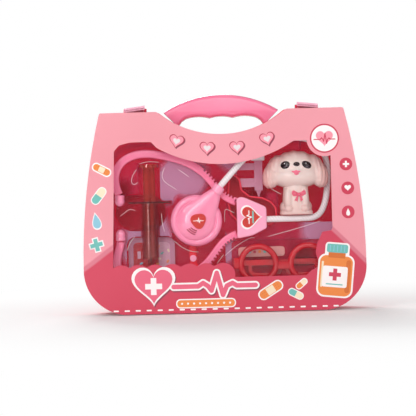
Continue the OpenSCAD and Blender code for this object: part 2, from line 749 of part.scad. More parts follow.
module blade_2d() {
    polygon([[-3.4, -6], [-3.4, 8], [-1.5, 24], [0.6, 25], [3, 8], [3.4, -6]]);
    difference() {
        union() {
            polygon([[-3.4, -5], [3.4, -5], [11, -17], [6, -20]]);
            translate([9, -23]) circle(9.5);
        }
        translate([9, -23]) circle(5.8);
    }
}
module blade(y, mirror_x, hole) difference() {
    slab(y, y + blade_t) translate(pivot) mirror([mirror_x, 0]) rotate(blade_angle)
        offset(r = 0.4) offset(r = -0.4) blade_2d();
    translate([pivot[0], y + blade_t + 1, pivot[1]]) rotate([90, 0, 0]) cylinder(r = hole, h = blade_t + 2);
}
module scissor_blade_front() color("red") blade(scissor_y, 0, rivet_r + run_gap);
module scissor_blade_back() color("red") blade(scissor_y + blade_t + blade_gap, 1, rivet_r + fixed_gap);
module scissor_rivet() color("white") {
    slab(scissor_y - 0.9, scissor_y - blade_gap) translate(pivot) circle(rivet_r + 1.4);
    slab(scissor_y - 0.9, scissor_y + 2 * blade_t + blade_gap) translate(pivot) circle(rivet_r);
}

strip_t = 1.4;
strip_y = right_temple_y + temple_t + 0.3;
module plaster_strip() color(cream) slab(strip_y, strip_y + strip_t) translate([14, 54.5]) offset(r = 3)
    translate([3, 3]) square([41, 4]);

// Clear tray: a sheet with a pocket for each toy, and cups that stand on the back wall
tray_inset = shell_wall + lip_gap + lip_t + 0.5;
cup_places = [[-121, 34], [121, 34], [-106, 188], [106, 188]];

module box_2d(x0, x1, z0, z1) translate([x0, z0]) square([x1 - x0, z1 - z0]);

module syringe_pocket_2d() {
    g = pocket_gap;
    box_2d(syringe_x - barrel_r - g, syringe_x + barrel_r + g, nozzle_low - g, barrel_top);
    box_2d(syringe_x - flange_w / 2 - g, syringe_x + flange_w / 2 + g, barrel_top - flange_t - g,
        barrel_top + g);
    box_2d(syringe_x - thumb_r - g, syringe_x + thumb_r + g, barrel_top, thumb_low + thumb_t + g);
}
module pill_pocket_2d() offset(r = pocket_gap) pill_2d();
module oval_pocket_2d() offset(r = pocket_gap) oval_2d();
module kidney_pocket_2d() offset(r = pocket_gap) kidney_2d();
module dropper_pocket_2d() box_2d(dropper_x - 21.5, dropper_x + 8, 115, 159.5);
module puppy_pocket_2d() {
    box_2d(55.2, 111.8, puppy_foot - 0.6, 162);
    box_2d(44, 111.8, 119, 162);
    box_2d(80, 111.8, 158, 178.5);
    box_2d(74, 111.8, 88.2, 112);
}
module glasses_pocket_2d() difference() {
    offset(r = 4) offset(r = -4)
        box_2d(glasses_x - temple_pin_x - 4.5, glasses_x + temple_pin_x + 4.5, 24, 71);
    // a land left standing under the right temple
    box_2d(glasses_x + 8, glasses_x + 40, temple_low - 1, temple_high + 1);
}
module scissor_pocket_2d() box_2d(-53, 1, 18, 81);

syringe_floor = syringe_y + thumb_r + 0.3;
pill_floor = pill_back + 0.3;
oval_floor = oval_back + 0.3;
kidney_floor = kidney_back + 0.3;
dropper_floor = dropper_y[1] + 0.3;
puppy_floor = head_y + head_r + 0.3;
glasses_floor = strip_y + strip_t;
scissor_floor = scissor_y + 2 * blade_t + blade_gap + 0.3;

// Every pocket with its walls grown by wall and its floor moved back by wall
module pockets(wall, front) {
    slab(front, syringe_floor + wall) offset(r = wall) syringe_pocket_2d();
    slab(front, pill_floor + wall) offset(r = wall) pill_pocket_2d();
    slab(front, oval_floor + wall) offset(r = wall) oval_pocket_2d();
    slab(front, kidney_floor + wall) offset(r = wall) kidney_pocket_2d();
    slab(front, dropper_floor + wall) offset(r = wall) dropper_pocket_2d();
    slab(front, puppy_floor + wall) offset(r = wall) puppy_pocket_2d();
    slab(front, glasses_floor + wall) offset(r = wall) glasses_pocket_2d();
    slab(front, scissor_floor + wall) offset(r = wall) scissor_pocket_2d();
}

module tray_tint() color([0.75, 0.6, 0.75, 0.5]) children();
module cups(r, front, end) slab(front, end) for (p = cup_places) translate(p) circle(r);

module tray_sheet() tray_tint() difference() {
    slab(tray_y, tray_y + tray_wall) offset(r = -tray_inset) case_2d();
    pockets(0, tray_y - 1);
    cups(cup_r - tray_wall, tray_y - 1, tray_y + 2 * tray_wall);
}

module tray_posts() tray_tint() difference() {
    cups(cup_r, tray_y + tray_wall + fixed_gap, back_inside);
    cups(cup_r - tray_wall, tray_y, back_inside - tray_wall);
}

// The pockets' walls and floors are kept as three solids, which meet at two planes between the toys
area_x = syringe_x + 23.5;
area_z = 82;

module pocket_area(x0, x1, z0, z1) tray_tint() intersection() {
    difference() {
        pockets(tray_wall, tray_y + tray_wall + fixed_gap);
        pockets(0, tray_y);
    }
    translate([x0 + fixed_gap / 2, tray_y, z0 + fixed_gap / 2])
        cube([x1 - x0 - fixed_gap, back_inside - tray_y, z1 - z0 - fixed_gap]);
}
module tray_pockets_left() pocket_area(-card_half_w, area_x, 0, card_top);
module tray_pockets_low() pocket_area(area_x, card_half_w, 0, area_z);
module tray_pockets_right() pocket_area(area_x, card_half_w, area_z, card_top);

back_shell();
front_cover();
front_card();
handle();
latch_left();
latch_right();
latch_pin_left();
latch_pin_right();
hinge_pins();
tray_sheet();
tray_posts();
tray_pockets_left();
tray_pockets_low();
tray_pockets_right();
chest_piece();
diaphragm();
chest_sticker();
steth_tube();
yoke();
yoke_sticker();
headset_arm_upper();
headset_arm_lower();
ear_tip_upper();
ear_tip_lower();
syringe_barrel();
syringe_plunger();
plunger_seal();
glasses_frame();
temple_left();
temple_right();
temple_pins();
puppy_body();
puppy_head();
puppy_eyes();
puppy_nose();
puppy_tongue();
puppy_bow();
pill_box();
pill_box_lid();
pill_card();
kidney_dish();
oval_dish();
dropper_body();
dropper_cap();
scissor_blade_front();
scissor_blade_back();
scissor_rivet();
plaster_strip();
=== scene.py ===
# Toy doctor case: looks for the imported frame. X is right, -Y is the front, Z is up, all in metres.
import bpy
import math
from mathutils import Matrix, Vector


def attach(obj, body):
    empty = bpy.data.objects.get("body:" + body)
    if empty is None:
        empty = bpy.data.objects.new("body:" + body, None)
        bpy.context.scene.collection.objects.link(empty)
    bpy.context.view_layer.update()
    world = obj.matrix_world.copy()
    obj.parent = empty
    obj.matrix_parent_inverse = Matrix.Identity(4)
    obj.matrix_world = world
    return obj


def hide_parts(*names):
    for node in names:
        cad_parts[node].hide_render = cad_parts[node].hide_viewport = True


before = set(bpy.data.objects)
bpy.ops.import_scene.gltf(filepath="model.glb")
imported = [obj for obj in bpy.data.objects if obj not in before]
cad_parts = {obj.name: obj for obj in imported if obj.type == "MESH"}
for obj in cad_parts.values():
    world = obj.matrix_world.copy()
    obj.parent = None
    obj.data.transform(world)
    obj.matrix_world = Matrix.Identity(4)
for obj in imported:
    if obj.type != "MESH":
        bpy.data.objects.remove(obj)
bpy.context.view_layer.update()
mm = 0.001
print("frame loaded:", len(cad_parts), "nodes")


# small helpers

def choose(*pieces):
    if bpy.context.object and bpy.context.object.mode != "OBJECT":
        bpy.ops.object.mode_set(mode="OBJECT")
    bpy.ops.object.select_all(action="DESELECT")
    for piece in pieces:
        piece.select_set(True)
    if pieces:
        bpy.context.view_layer.objects.active = pieces[-1]


def useModifier(piece, kind, **settings):
    choose(piece)
    modifier = piece.modifiers.new(kind.title(), kind)
    for key, value in settings.items():
        setattr(modifier, key, value)
    bpy.ops.object.modifier_apply(modifier=modifier.name)


def settle(piece):  # the place goes into the mesh, the object back to the origin
    choose(piece)
    bpy.ops.object.transform_apply(location=True, rotation=True, scale=True)


def editAll(piece):
    choose(piece)
    bpy.ops.object.mode_set(mode="EDIT")
    bpy.ops.mesh.select_all(action="SELECT")


def crease(angle):  # smooth shading, sharp where the faces meet at more than the angle
    bpy.ops.object.shade_smooth_by_angle(angle=math.radians(angle))


def cleanUp(piece, angle=35):
    editAll(piece)
    bpy.ops.mesh.remove_doubles(threshold=0.004 * mm)
    bpy.ops.mesh.normals_make_consistent(inside=False)
    bpy.ops.object.mode_set(mode="OBJECT")
    crease(angle)


def laidFlat(piece):  # a standing plate turned to lie, so its depths become heights
    piece.rotation_euler.x = math.radians(-90)
    settle(piece)
    return piece


def curveToMesh(name, curve):
    piece = bpy.data.objects.new(name, curve)
    bpy.context.collection.objects.link(piece)
    choose(piece)
    bpy.ops.object.convert(target="MESH")
    return bpy.context.object


def joinAll(name, pieces):
    choose(*pieces)
    bpy.ops.object.join()
    joined = bpy.context.object
    joined.name = name
    return joined


def put(piece, material, body, finish, *nodes):
    piece.data.materials.clear()
    piece.data.materials.append(material)
    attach(piece, body)
    if nodes:
        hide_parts(*nodes)
    return piece


def dress(material, *nodes):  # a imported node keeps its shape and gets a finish
    for node in nodes:
        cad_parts[node].data.materials.clear()
        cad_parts[node].data.materials.append(material)


def softened(node, width, steps=2, limit=40):  # a copy of a node with its sharp edges rounded
    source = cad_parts[node]
    piece = source.copy()
    piece.data = source.data.copy()
    piece.parent = None
    for key in list(piece.keys()):
        del piece[key]
    bpy.context.collection.objects.link(piece)
    piece.hide_render = piece.hide_viewport = False
    piece.name = node + "Rounded"
    if width:
        editAll(piece)
        bpy.ops.mesh.remove_doubles(threshold=0.002 * mm)
        bpy.ops.mesh.dissolve_limited(angle_limit=math.radians(1))
        bpy.ops.object.mode_set(mode="OBJECT")
        useModifier(piece, "BEVEL", width=width * mm, segments=steps, limit_method="ANGLE",
                    angle_limit=math.radians(limit), use_clamp_overlap=True)
    choose(piece)
    crease(limit)
    useModifier(piece, "WEIGHTED_NORMAL", keep_sharp=True)
    return piece


# outlines, in millimetres across the front of the case

def arcPoints(x, z, radius, start, end, count):
    turns = [math.radians(start + (end - start) * i / count) for i in range(count + 1)]
    return [(x + radius * math.cos(t), z + radius * math.sin(t)) for t in turns]


def ringPoints(x, z, radius, count=40):
    return arcPoints(x, z, radius, 0, 360 - 360 / count, count - 1)


def placed(points, x=0.0, z=0.0, turn=0.0, size=1.0):
    c, s = size * math.cos(math.radians(turn)), size * math.sin(math.radians(turn))
    return [(x + px * c - pz * s, z + px * s + pz * c) for px, pz in points]


def roundedBox(wide, high, corner, steps=6):
    a, b = wide / 2 - corner, high / 2 - corner
    return (arcPoints(a, b, corner, 0, 90, steps) + arcPoints(-a, b, corner, 90, 180, steps)
            + arcPoints(-a, -b, corner, 180, 270, steps) + arcPoints(a, -b, corner, 270, 360, steps))


def heartPoints(wide, count=44):
    points = []
    for i in range(count):
        t = 2 * math.pi * i / count
        points.append((16 * math.sin(t) ** 3,
                       13 * math.cos(t) - 5 * math.cos(2 * t) - 2 * math.cos(3 * t) - math.cos(4 * t)))
    return [(x * wide / 32, (z + 2.5) * wide / 32) for x, z in points]


def plusPoints(size, arm):
    a, b = size / 2, arm / 2
    return [(-b, -a), (b, -a), (b, -b), (a, -b), (a, b), (b, b), (b, a), (-b, a), (-b, b), (-a, b),
            (-a, -b), (-b, -b)]


def dropPoints(high, count=30):
    points = []
    for i in range(count):
        t = 2 * math.pi * i / count
        points.append((0.36 * high * math.sin(t) * math.sin(t / 2) ** 1.3, 0.5 * high * math.cos(t)))
    return points


def strokeParts(line, wide):  # round-ended bands, one for each stretch of a line
    parts = []
    for (ax, az), (bx, bz) in zip(line, line[1:]):
        long = math.hypot(bx - ax, bz - az) + wide
        turn = math.degrees(math.atan2(bz - az, bx - ax))
        parts.append(placed(roundedBox(long, wide, wide / 2 - 0.01), (ax + bx) / 2, (az + bz) / 2, turn))
    return parts


# a plate cut from closed outlines, standing between two depths in millimetres
def cutPlate(name, outlines, front, back, bevel=0.0, steps=2):
    sheet = bpy.data.curves.new(name, "CURVE")
    sheet.dimensions = "2D"
    sheet.fill_mode = "BOTH"
    sheet.extrude = ((back - front) / 2 - bevel) * mm
    sheet.bevel_depth = bevel * mm
    sheet.bevel_resolution = steps
    sheet.offset = -bevel * mm
    for outline in outlines:
        spline = sheet.splines.new("POLY")
        spline.points.add(len(outline) - 1)
        for point, (x, z) in zip(spline.points, outline):
            point.co = (x * mm, z * mm, 0, 1)
        spline.use_cyclic_u = True
    plate = curveToMesh(name, sheet)
    plate.rotation_euler.x = math.radians(90)
    plate.location.y = (front + back) / 2 * mm
    settle(plate)
    cleanUp(plate, 50)
    return plate


def ball(x, y, z, rx, ry, rz, tilt=(0, 0, 0), detail=32):
    bpy.ops.mesh.primitive_uv_sphere_add(segments=detail, ring_count=detail // 2, radius=1,
                                         location=(x * mm, y * mm, z * mm),
                                         rotation=[math.radians(t) for t in tilt])
    piece = bpy.context.object
    piece.scale = (rx * mm, ry * mm, rz * mm)
    settle(piece)
    return piece


def tube(name, points, radius, detail=5, smoothness=6, tips=1.0):  # a round rod along a smooth line
    path = bpy.data.curves.new(name, "CURVE")
    path.dimensions = "3D"
    path.bevel_depth = radius * mm
    path.bevel_resolution = detail
    path.resolution_u = smoothness
    path.use_fill_caps = True
    spline = path.splines.new("NURBS")
    spline.points.add(len(points) - 1)
    for point, co in zip(spline.points, points):
        point.co = (co[0] * mm, co[1] * mm, co[2] * mm, 1)
    spline.points[0].radius = spline.points[-1].radius = tips
    spline.use_endpoint_u = True
    spline.order_u = 4
    piece = curveToMesh(name, path)
    cleanUp(piece, 60)
    return piece


def fuse(name, pieces, voxel, rounds=4):  # melt shapes into one moulded form
    whole = joinAll(name, pieces)
    useModifier(whole, "REMESH", mode="VOXEL", voxel_size=voxel * mm)
    useModifier(whole, "SMOOTH", factor=0.6, iterations=rounds)
    choose(whole)
    bpy.ops.object.shade_smooth()
    return whole


# materials

def hexColour(text):  # sRGB hex to linear
    parts = [int(text[i:i + 2], 16) / 255 for i in (1, 3, 5)]
    return tuple(v / 12.92 if v <= 0.04045 else ((v + 0.055) / 1.055) ** 2.4 for v in parts) + (1.0,)


def addNode(tree, kind, inputs=None, **settings):  # an input takes a value, a hex colour or a socket
    node = tree.nodes.new("ShaderNode" + kind)
    for key, value in settings.items():
        setattr(node, key, value)
    for key, value in (inputs or {}).items():
        if isinstance(value, bpy.types.NodeSocket):
            tree.links.new(value, node.inputs[key])
        else:
            node.inputs[key].default_value = hexColour(value) if isinstance(value, str) else value
    return node


def newMaterial(name, colour, roughness, **shader):
    material = bpy.data.materials.new(name)
    material.use_nodes = True
    tree = material.node_tree
    skin = tree.nodes["Principled BSDF"]
    skin.inputs["Base Color"].default_value = hexColour(colour)
    skin.inputs["Roughness"].default_value = roughness
    for key, value in shader.items():
        skin.inputs[key.replace("_", " ")].default_value = value
    return material, tree, skin, addNode(tree, "TexCoord").outputs["Object"]


def noise(tree, place, scale, detail=1, result="Fac"):
    return addNode(tree, "TexNoise", {"Vector": place, "Scale": scale, "Detail": detail}).outputs[result]


def wave(tree, place, scale, distortion=0, phase=0):
    bands = addNode(tree, "TexWave", {"Vector": place, "Scale": scale, "Distortion": distortion,
                                      "Phase Offset": phase})
    return bands.outputs["Fac"]


def shifted(tree, place, **settings):  # coordinates moved, turned or scaled
    return addNode(tree, "Mapping", {"Vector": place, **settings}).outputs["Vector"]


def length(tree, place):
    return addNode(tree, "VectorMath", {0: place}, operation="LENGTH").outputs["Value"]


def maths(tree, operation, *values):
    return addNode(tree, "Math", dict(enumerate(values)), operation=operation).outputs[0]


def ranged(tree, value, *limits):  # from low, from high, to low and to high
    ends = dict(zip(("From Min", "From Max", "To Min", "To Max"), limits))
    return addNode(tree, "MapRange", {"Value": value, **ends}).outputs["Result"]


def facing(tree, blend):
    return addNode(tree, "LayerWeight", {"Blend": blend}).outputs["Facing"]


def mixed(tree, share, first, second, blend="MIX"):
    inputs = {0: share, 6: first, 7: second}
    return addNode(tree, "Mix", inputs, data_type="RGBA", blend_type=blend).outputs[2]


def feed(tree, skin, **sockets):
    for key, socket in sockets.items():
        tree.links.new(socket, skin.inputs[key.replace("_", " ")])


def bumped(tree, skin, height, strength, depth):
    bump = addNode(tree, "Bump", {"Height": height, "Strength": strength, "Distance": depth * mm})
    feed(tree, skin, Normal=bump.outputs["Normal"])


def moulded(name, colour, darker, roughness, **shader):
    # injection-moulded plastic: an even colour with a faint flow pattern and a hint of orange peel
    peel = {"wide": 1.4, "strength": 0.25, "deep": 0.02}
    material, tree, skin, place = newMaterial(name, colour, roughness, **shader)
    flow = noise(tree, place, 35, 2)
    feed(tree, skin, Base_Color=mixed(tree, ranged(tree, flow, 0.4, 0.75, 0, 0.6), colour, darker),
         Roughness=ranged(tree, flow, 0, 1, roughness * 0.85, roughness * 1.3))
    bumped(tree, skin, noise(tree, place, 1 / (peel["wide"] * mm)), peel["strength"], peel["deep"])
    return material


def printInk(name, colour, roughness=0.3, varnish=0.3):
    # offset ink under a gloss varnish: flat colour with a very fine paper tooth
    material, tree, skin, place = newMaterial(name, colour, roughness, Coat_Weight=varnish,
                                              Coat_Roughness=0.12)
    bumped(tree, skin, noise(tree, place, 900, 2), 0.15, 0.02)
    return material


wet = {"Coat_Weight": 0.8, "Coat_Roughness": 0.1}
glossy = {"Coat_Weight": 0.5, "Coat_Roughness": 0.1}
waxy = {"Subsurface_Weight": 0.06, "Subsurface_Scale": 0.004}
pinkAbs = moulded("pinkGlossAbs", "#ff93b5", "#f983a8", 0.2, **wet, **waxy)
armAbs = moulded("armGlossAbs", "#fd7fa4", "#f47299", 0.2, **wet)
# painted highlight: the yoke gets a lighter copy of the pink, for the reflection on its flat face
yokeSheenPink = moulded("yokeLitPinkAbs", "#ffabc8", "#fb9dbd", 0.2, **glossy)
handleAbs = moulded("handleAbs", "#ff80a4", "#fa7198", 0.22, **glossy, **waxy)
# partly the latches' own pale pink, partly painted highlight: lightened for the light their faces catch
latchPinkAndSheen = moulded("latchPinkAndSheen", "#ffc0d5", "#fbaec8", 0.28)
collarAbs = moulded("collarAbs", "#ffa3c2", "#fb93b6", 0.2, Coat_Weight=0.4, Coat_Roughness=0.08)
shellStyrene = moulded("raspberryShell", "#f5284f", "#e41f45", 0.2, Subsurface_Weight=0.5,
                       Subsurface_Scale=0.012, Coat_Weight=0.3, Coat_Roughness=0.08)
redAbs = moulded("redGlossAbs", "#c80c20", "#b40a1c", 0.14, Coat_Weight=0.5, Coat_Roughness=0.04)
scissorAbs = moulded("scissorAbs", "#ee2a3e", "#d81f32", 0.24)
whiteAbs = moulded("whiteSatinAbs", "#f0e4e8", "#e4d3d9", 0.3)
steel = moulded("nickelSteelPin", "#b9b6b8", "#a7a3a6", 0.25, Metallic=1.0)
sealRubber = moulded("plungerRubber", "#4c0d16", "#3b0910", 0.5)
blackGloss = moulded("blackGlossPaint", "#0d080b", "#140d11", 0.1, Coat_Weight=0.3, Coat_Roughness=0.05,
                     Specular_IOR_Level=0.3)
# painted highlight: a white glint set on each eye
glintWhite = moulded("eyeGlintWhite", "#f5eff0", "#e9e0e2", 0.2)
# partly a grey iris, partly painted reflection: a dull grey mark low in each eye
eyeGrey = moulded("eyeGreyIrisReflection", "#665b66", "#574d58", 0.2)
tonguePink = moulded("tonguePinkPaint", "#f0728c", "#e6607d", 0.2)
bowPink = moulded("bowPinkVinyl", "#e4637c", "#d5506b", 0.25)

inkWhite = printInk("inkWhite", "#fbf3f2")
inkRed = printInk("inkRed", "#cf3a55")
inkDarkRed = printInk("inkDarkRed", "#b8304a")
inkPink = printInk("inkPink", "#f797a8")
inkDeepPink = printInk("inkDeepPink", "#e9637f")
inkShadow = printInk("inkShadow", "#8f3c50")
inkOrange = printInk("inkOrange", "#ee8a3f")
inkOrangeDark = printInk("inkOrangeDark", "#d9702c")
inkTeal = printInk("inkTeal", "#6fbdb5")
inkBlue = printInk("inkBlue", "#8fc6da")
inkCream = printInk("inkCream", "#f6e3c4")
inkSticker = printInk("stickerRed", "#cf3a30", 0.2)
inkSound = printInk("inkSound", "#98062a", 0.6, 0.0)
inkPale = printInk("inkPale", "#eadadc")
inkPill = printInk("pillCardRed", "#e01020", 0.25)
inkLilac = printInk("pillCardLilac", "#e0a9bf", 0.25)


def cardBoard():
    # coated greyboard, offset printed: two pinks that meet in a soft band, white at its cut edges
    tone = {"upper": "#f39fab", "band": "#e07c8e", "lower": "#d63f5b", "cut": "#f4e4e4", "cloud": "#f3eaea"}
    # the border between the two pinks rises inwards from each side at its slope, up to its top
    border = {"left": (141, 47, 0.7), "right": (139, 50, -1.03), "top": 88, "wave": 5, "above": -4,
              "below": 16}
    material, tree, skin, place = newMaterial("printedCoatedCard", tone["upper"], 0.34, Coat_Weight=0.35,
                                              Coat_Roughness=0.15)
    axes = addNode(tree, "SeparateXYZ", {0: place}).outputs
    height = border["top"] * mm
    for side in ("left", "right"):
        reach, low, slope = border[side]
        rise = maths(tree, "MULTIPLY_ADD", axes["X"], slope, (low + reach * abs(slope)) * mm)
        height = maths(tree, "MINIMUM", rise, height)
    wavy = maths(tree, "MULTIPLY_ADD", noise(tree, place, 14), border["wave"] * mm, height)
    under = maths(tree, "SUBTRACT", wavy, axes["Z"])
    ramp = addNode(tree, "ValToRGB", {"Fac": ranged(tree, under, border["above"] * mm, border["below"] * mm)})
    stops = ramp.color_ramp.elements
    stops[0].position, stops[0].color = 0.14, hexColour(tone["upper"])
    stops[1].position, stops[1].color = 0.52, hexColour(tone["lower"])
    for position in (0.24, 0.42):
        stops.new(position).color = hexColour(tone["band"])
    pinks = mixed(tree, noise(tree, place, 9), ramp.outputs["Color"], tone["cloud"], "MULTIPLY")
    normal = addNode(tree, "SeparateXYZ", {0: addNode(tree, "TexCoord").outputs["Normal"]}).outputs
    front = maths(tree, "LESS_THAN", normal["Y"], -0.5)
    feed(tree, skin, Base_Color=mixed(tree, front, tone["cut"], pinks))
    bumped(tree, skin, noise(tree, place, 700, 3), 0.2, 0.03)
    return material


def clearSheet(name, colour, alpha, roughness):
    # thin clear plastic: a faint tint, sharp highlights and a gentle ripple from forming
    material, tree, skin, place = newMaterial(name, colour, roughness, Alpha=alpha, IOR=1.6)
    bumped(tree, skin, noise(tree, place, 90, 2), 0.3, 0.02)
    return material


coverClear = clearSheet("coverStyrene", "#f0a9bb", 0.012, 0.04)
boxClear = clearSheet("pillBoxStyrene", "#f3cfdd", 0.07, 0.06)
# painted highlight: near-white and fairly opaque, for the rods drawn as streaks of light on the tray
glintStreakPet = clearSheet("glintStreakPet", "#fffafc", 0.75, 0.05)
boxMilk = clearSheet("pillBoxMilk", "#e6a9c4", 0.5, 0.1)
dropperClear = clearSheet("dropperPolypropylene", "#e6a4c0", 0.55, 0.16)


def trayPet():
    # thermoformed PET: clear and tinted by the shell behind it, with a milky lilac sheen on some lands and
    # painted shade over some pockets
    look = {"milk": "#cfa0c4", "clear": "#c43a68", "dark": "#780818", "milky": 0.5, "thin": 0.16,
            "edge": 0.42, "blur": 22, "land": -11.3, "pocket": -10.0}
    # places with their reach: milky lands, and painted shade over the deep pockets of the glasses, the
    # syringe and the dish
    sheen = ((-38, 141, 30), (-75, 72, 34), (1, 64, 17), (101, 84, 26), (18, 158, 24), (-56, 128, 20))
    deep = ((38, 52, 34), (78, 56, 30), (-74, 88, 17), (-104, 128, 17), (30, 116, 18))
    material, tree, skin, place = newMaterial("trayPet", look["clear"], 0.07, IOR=1.5)
    depth = addNode(tree, "SeparateXYZ", {0: place}).outputs["Y"]
    blur = look["blur"] * mm
    drift = addNode(tree, "VectorMath", {0: noise(tree, place, 38, 1, "Color"), 1: (blur, 0, blur), 2: place},
                    operation="MULTIPLY_ADD").outputs["Vector"]

    def spots(places, soft):  # one factor that is 1 near any of the places
        most = 0
        for x, z, reach in places:
            centre = (-x * mm - blur / 2, 0, -z * mm - blur / 2)
            away = length(tree, shifted(tree, drift, Location=centre, Scale=(1, 0, 1)))
            most = maths(tree, "MAXIMUM", most, ranged(tree, away, reach * mm, reach * soft * mm))
        return most

    land = ranged(tree, depth, look["land"] * mm, look["pocket"] * mm, 1, 0)
    milk = maths(tree, "MULTIPLY", spots(sheen, 0.7), land)
    # painted shade: near these places the tray is drawn dark maroon and more opaque
    shade = spots(deep, 0.25)
    flat = ranged(tree, maths(tree, "MAXIMUM", milk, shade), 0, 1, look["thin"], look["milky"])
    wall = maths(tree, "MULTIPLY", facing(tree, 0.35), look["edge"])
    tint = mixed(tree, shade, look["clear"], look["dark"])
    feed(tree, skin, Base_Color=mixed(tree, milk, tint, look["milk"]),
         Alpha=maths(tree, "MAXIMUM", flat, wall))
    bumped(tree, skin, noise(tree, place, 60, 2), 0.3, 0.15)
    return material


def tintedStyrene(name, colour, rim, alpha, ribs=0.0, index=1.5):
    # tinted clear polystyrene: wet highlights, a darker line where it is seen through its edge
    material, tree, skin, place = newMaterial(name, colour, 0.08, IOR=index, Coat_Weight=0.6,
                                              Coat_Roughness=0.04)
    turned = facing(tree, 0.3)
    # ribs moulded along the rod show through it as darker bands
    bands = maths(tree, "MULTIPLY", wave(tree, place, 62, 0, 1.2), ribs)
    feed(tree, skin, Base_Color=mixed(tree, bands, mixed(tree, turned, colour, rim), rim),
         Alpha=ranged(tree, turned, 0.35, 0.85, alpha, 0.92))
    bumped(tree, skin, noise(tree, place, 120), 0.03, 0.05)
    return material


syringeTint = tintedStyrene("syringeRedBrown", "#b02418", "#2e070a", 0.4, 0.5, 1.9)
plungerTint = tintedStyrene("plungerRedBrown", "#d03c2c", "#64120f", 0.6, 0.5, 1.9)
dishTint = tintedStyrene("dishRed", "#f23c52", "#d0243a", 0.98)
# painted shade: a near-black copy of the red-brown plastic, for the dark line of the flange seen edge on
flangeShadeTint = tintedStyrene("flangePaintedShade", "#2a0a0d", "#1c0608", 0.92)
ovalTint = tintedStyrene("ovalDishRed", "#e62744", "#b8142e", 0.4)


def vinylCream(name, most):
    # soft rotocast vinyl: warm cream with a pink blush sprayed towards the edges of the head
    blush = {"centre": (-73.7 * mm, 24 * mm, -134 * mm), "from": 18, "to": 37}
    material, tree, skin, place = newMaterial(name, "#e7cfc8", 0.32, Subsurface_Weight=0.2,
                                              Subsurface_Scale=0.006, Subsurface_Radius=(1.0, 0.45, 0.35),
                                              Coat_Weight=0.25, Coat_Roughness=0.2)
    away = length(tree, shifted(tree, place, Location=blush["centre"]))
    share = ranged(tree, away, blush["from"] * mm, blush["to"] * mm, 0, most)
    feed(tree, skin, Base_Color=mixed(tree, share, "#e8d0c9", "#dc8f8c"))
    bumped(tree, skin, noise(tree, place, 500, 2), 0.2, 0.05)
    return material


def ribbedTube():
    # extruded soft PVC tube, white with a fine diagonal rib that is drawn coarse enough to show; its grooves
    # are painted a little darker, painted shade
    material, tree, skin, place = newMaterial("ribbedTubePvc", "#f2e9ea", 0.34)
    ribs = wave(tree, shifted(tree, place, Rotation=(0, math.radians(35), 0)), 130, 0.6)
    # painted shade: the rib grooves darker, the crests lighter
    feed(tree, skin, Base_Color=mixed(tree, ribs, "#e6d6d9", "#f7eff0"))
    bumped(tree, skin, ribs, 0.4, 0.1)
    return material


cardSkin = cardBoard()
creamVinyl = vinylCream("creamVinyl", 0.9)
paleVinyl = vinylCream("paleVinyl", 0.3)
tubePvc = ribbedTube()
traySheet = trayPet()
print("materials made")


# case: shell, cover, latches and pins

case = {"latchBevel": 0.5, "shellBevel": 0.7, "latchX": 87.5, "latchLow": 205.3, "latchGrow": 1.45,
        "latchWide": 1.17}

dress(coverClear, "front_cover")
dress(cardSkin, "front_card")
dress(steel, "hinge_pins", "latch_pin_left", "latch_pin_right", "temple_pins")
shell = softened("back_shell", case["shellBevel"])
put(shell, shellStyrene, "case", "raspberry_shell", "back_shell")
# the back carries a low moulded frame, a plain round boss and the marks of the ejector pins
relief = {"front": 32.6, "back": 33.35, "frame": (232, 150, 24, 98), "rib": 2.4, "ring": (30, 27.6),
          "ringZ": 104, "mark": 3.2, "marks": ((-86, 52), (-86, 146), (86, 52), (86, 146))}
wide, high, corner, middle = relief["frame"]
backLines = [placed(roundedBox(wide - 2 * inset, high - 2 * inset, corner - inset), 0, middle)
             for inset in (0, relief["rib"])]
backRing = [ringPoints(0, relief["ringZ"], radius, 64) for radius in relief["ring"]]
pinMarks = [ringPoints(x, z, relief["mark"], 24) for x, z in relief["marks"]]
backRelief = [cutPlate("backRelief", outlines, relief["front"], relief["back"], 0.2)
              for outlines in (backLines, backRing, pinMarks)]
put(joinAll("backRelief", backRelief), shellStyrene, "case", "raspberry_shell")


def leaned(latch, x, lean):  # the plate in front of the barrel is drawn fuller, and a little askew
    for vertex in latch.data.vertices:
        share = max(0.0, min(1.0, (0.5 - vertex.co.y / mm) / 3))
        wide = 1 + (case["latchWide"] - 1) * share
        high = 1 + (case["latchGrow"] - 1) * share
        low = case["latchLow"] * mm
        vertex.co.z = low + (vertex.co.z - low) * high + lean * share * (vertex.co.x - x * mm)
        vertex.co.x = x * mm + (vertex.co.x - x * mm) * wide


for side, lean in (("left", 0.15), ("right", -0.13)):
    latch = softened("latch_" + side, case["latchBevel"], 3)
    leaned(latch, case["latchX"] * (-1 if side == "left" else 1), lean)
    put(latch, latchPinkAndSheen, side + "_latch", "deep_pink_plastic", "latch_" + side)
print("case done")


# handle: an arch cut from its outline, with its long edges well rounded

handle = {"top": 220.4, "radius": 110, "under": 196.6, "scallopPitch": 23.5, "scallopRadius": 40,
          "reach": 74, "bevel": 4.2, "front": -3.6, "back": 16.4, "cut": (-44, 189, -62, 201.3)}


def handleOutline():
    h = handle
    centreZ = h["top"] - h["radius"]
    half = math.degrees(math.asin(h["reach"] / h["radius"]))
    top = arcPoints(0, centreZ, h["radius"], 90 - half, 90 + half, 60)
    leftRoot = [(-62, 176), (-50, 181.5), (-44, 189)]
    grip = []
    for i in range(-36, 37):
        sag = min(h["scallopRadius"] - math.sqrt(h["scallopRadius"] ** 2 - (i - c * h["scallopPitch"]) ** 2)
                  for c in (-1, 0, 1) if abs(i - c * h["scallopPitch"]) < h["scallopRadius"])
        grip.append((i, h["under"] + 2 - sag))
    rightRoot = [(-x, z) for x, z in reversed(leftRoot)]
    return top + leftRoot + [(-40, 194)] + grip + [(40, 194)] + rightRoot


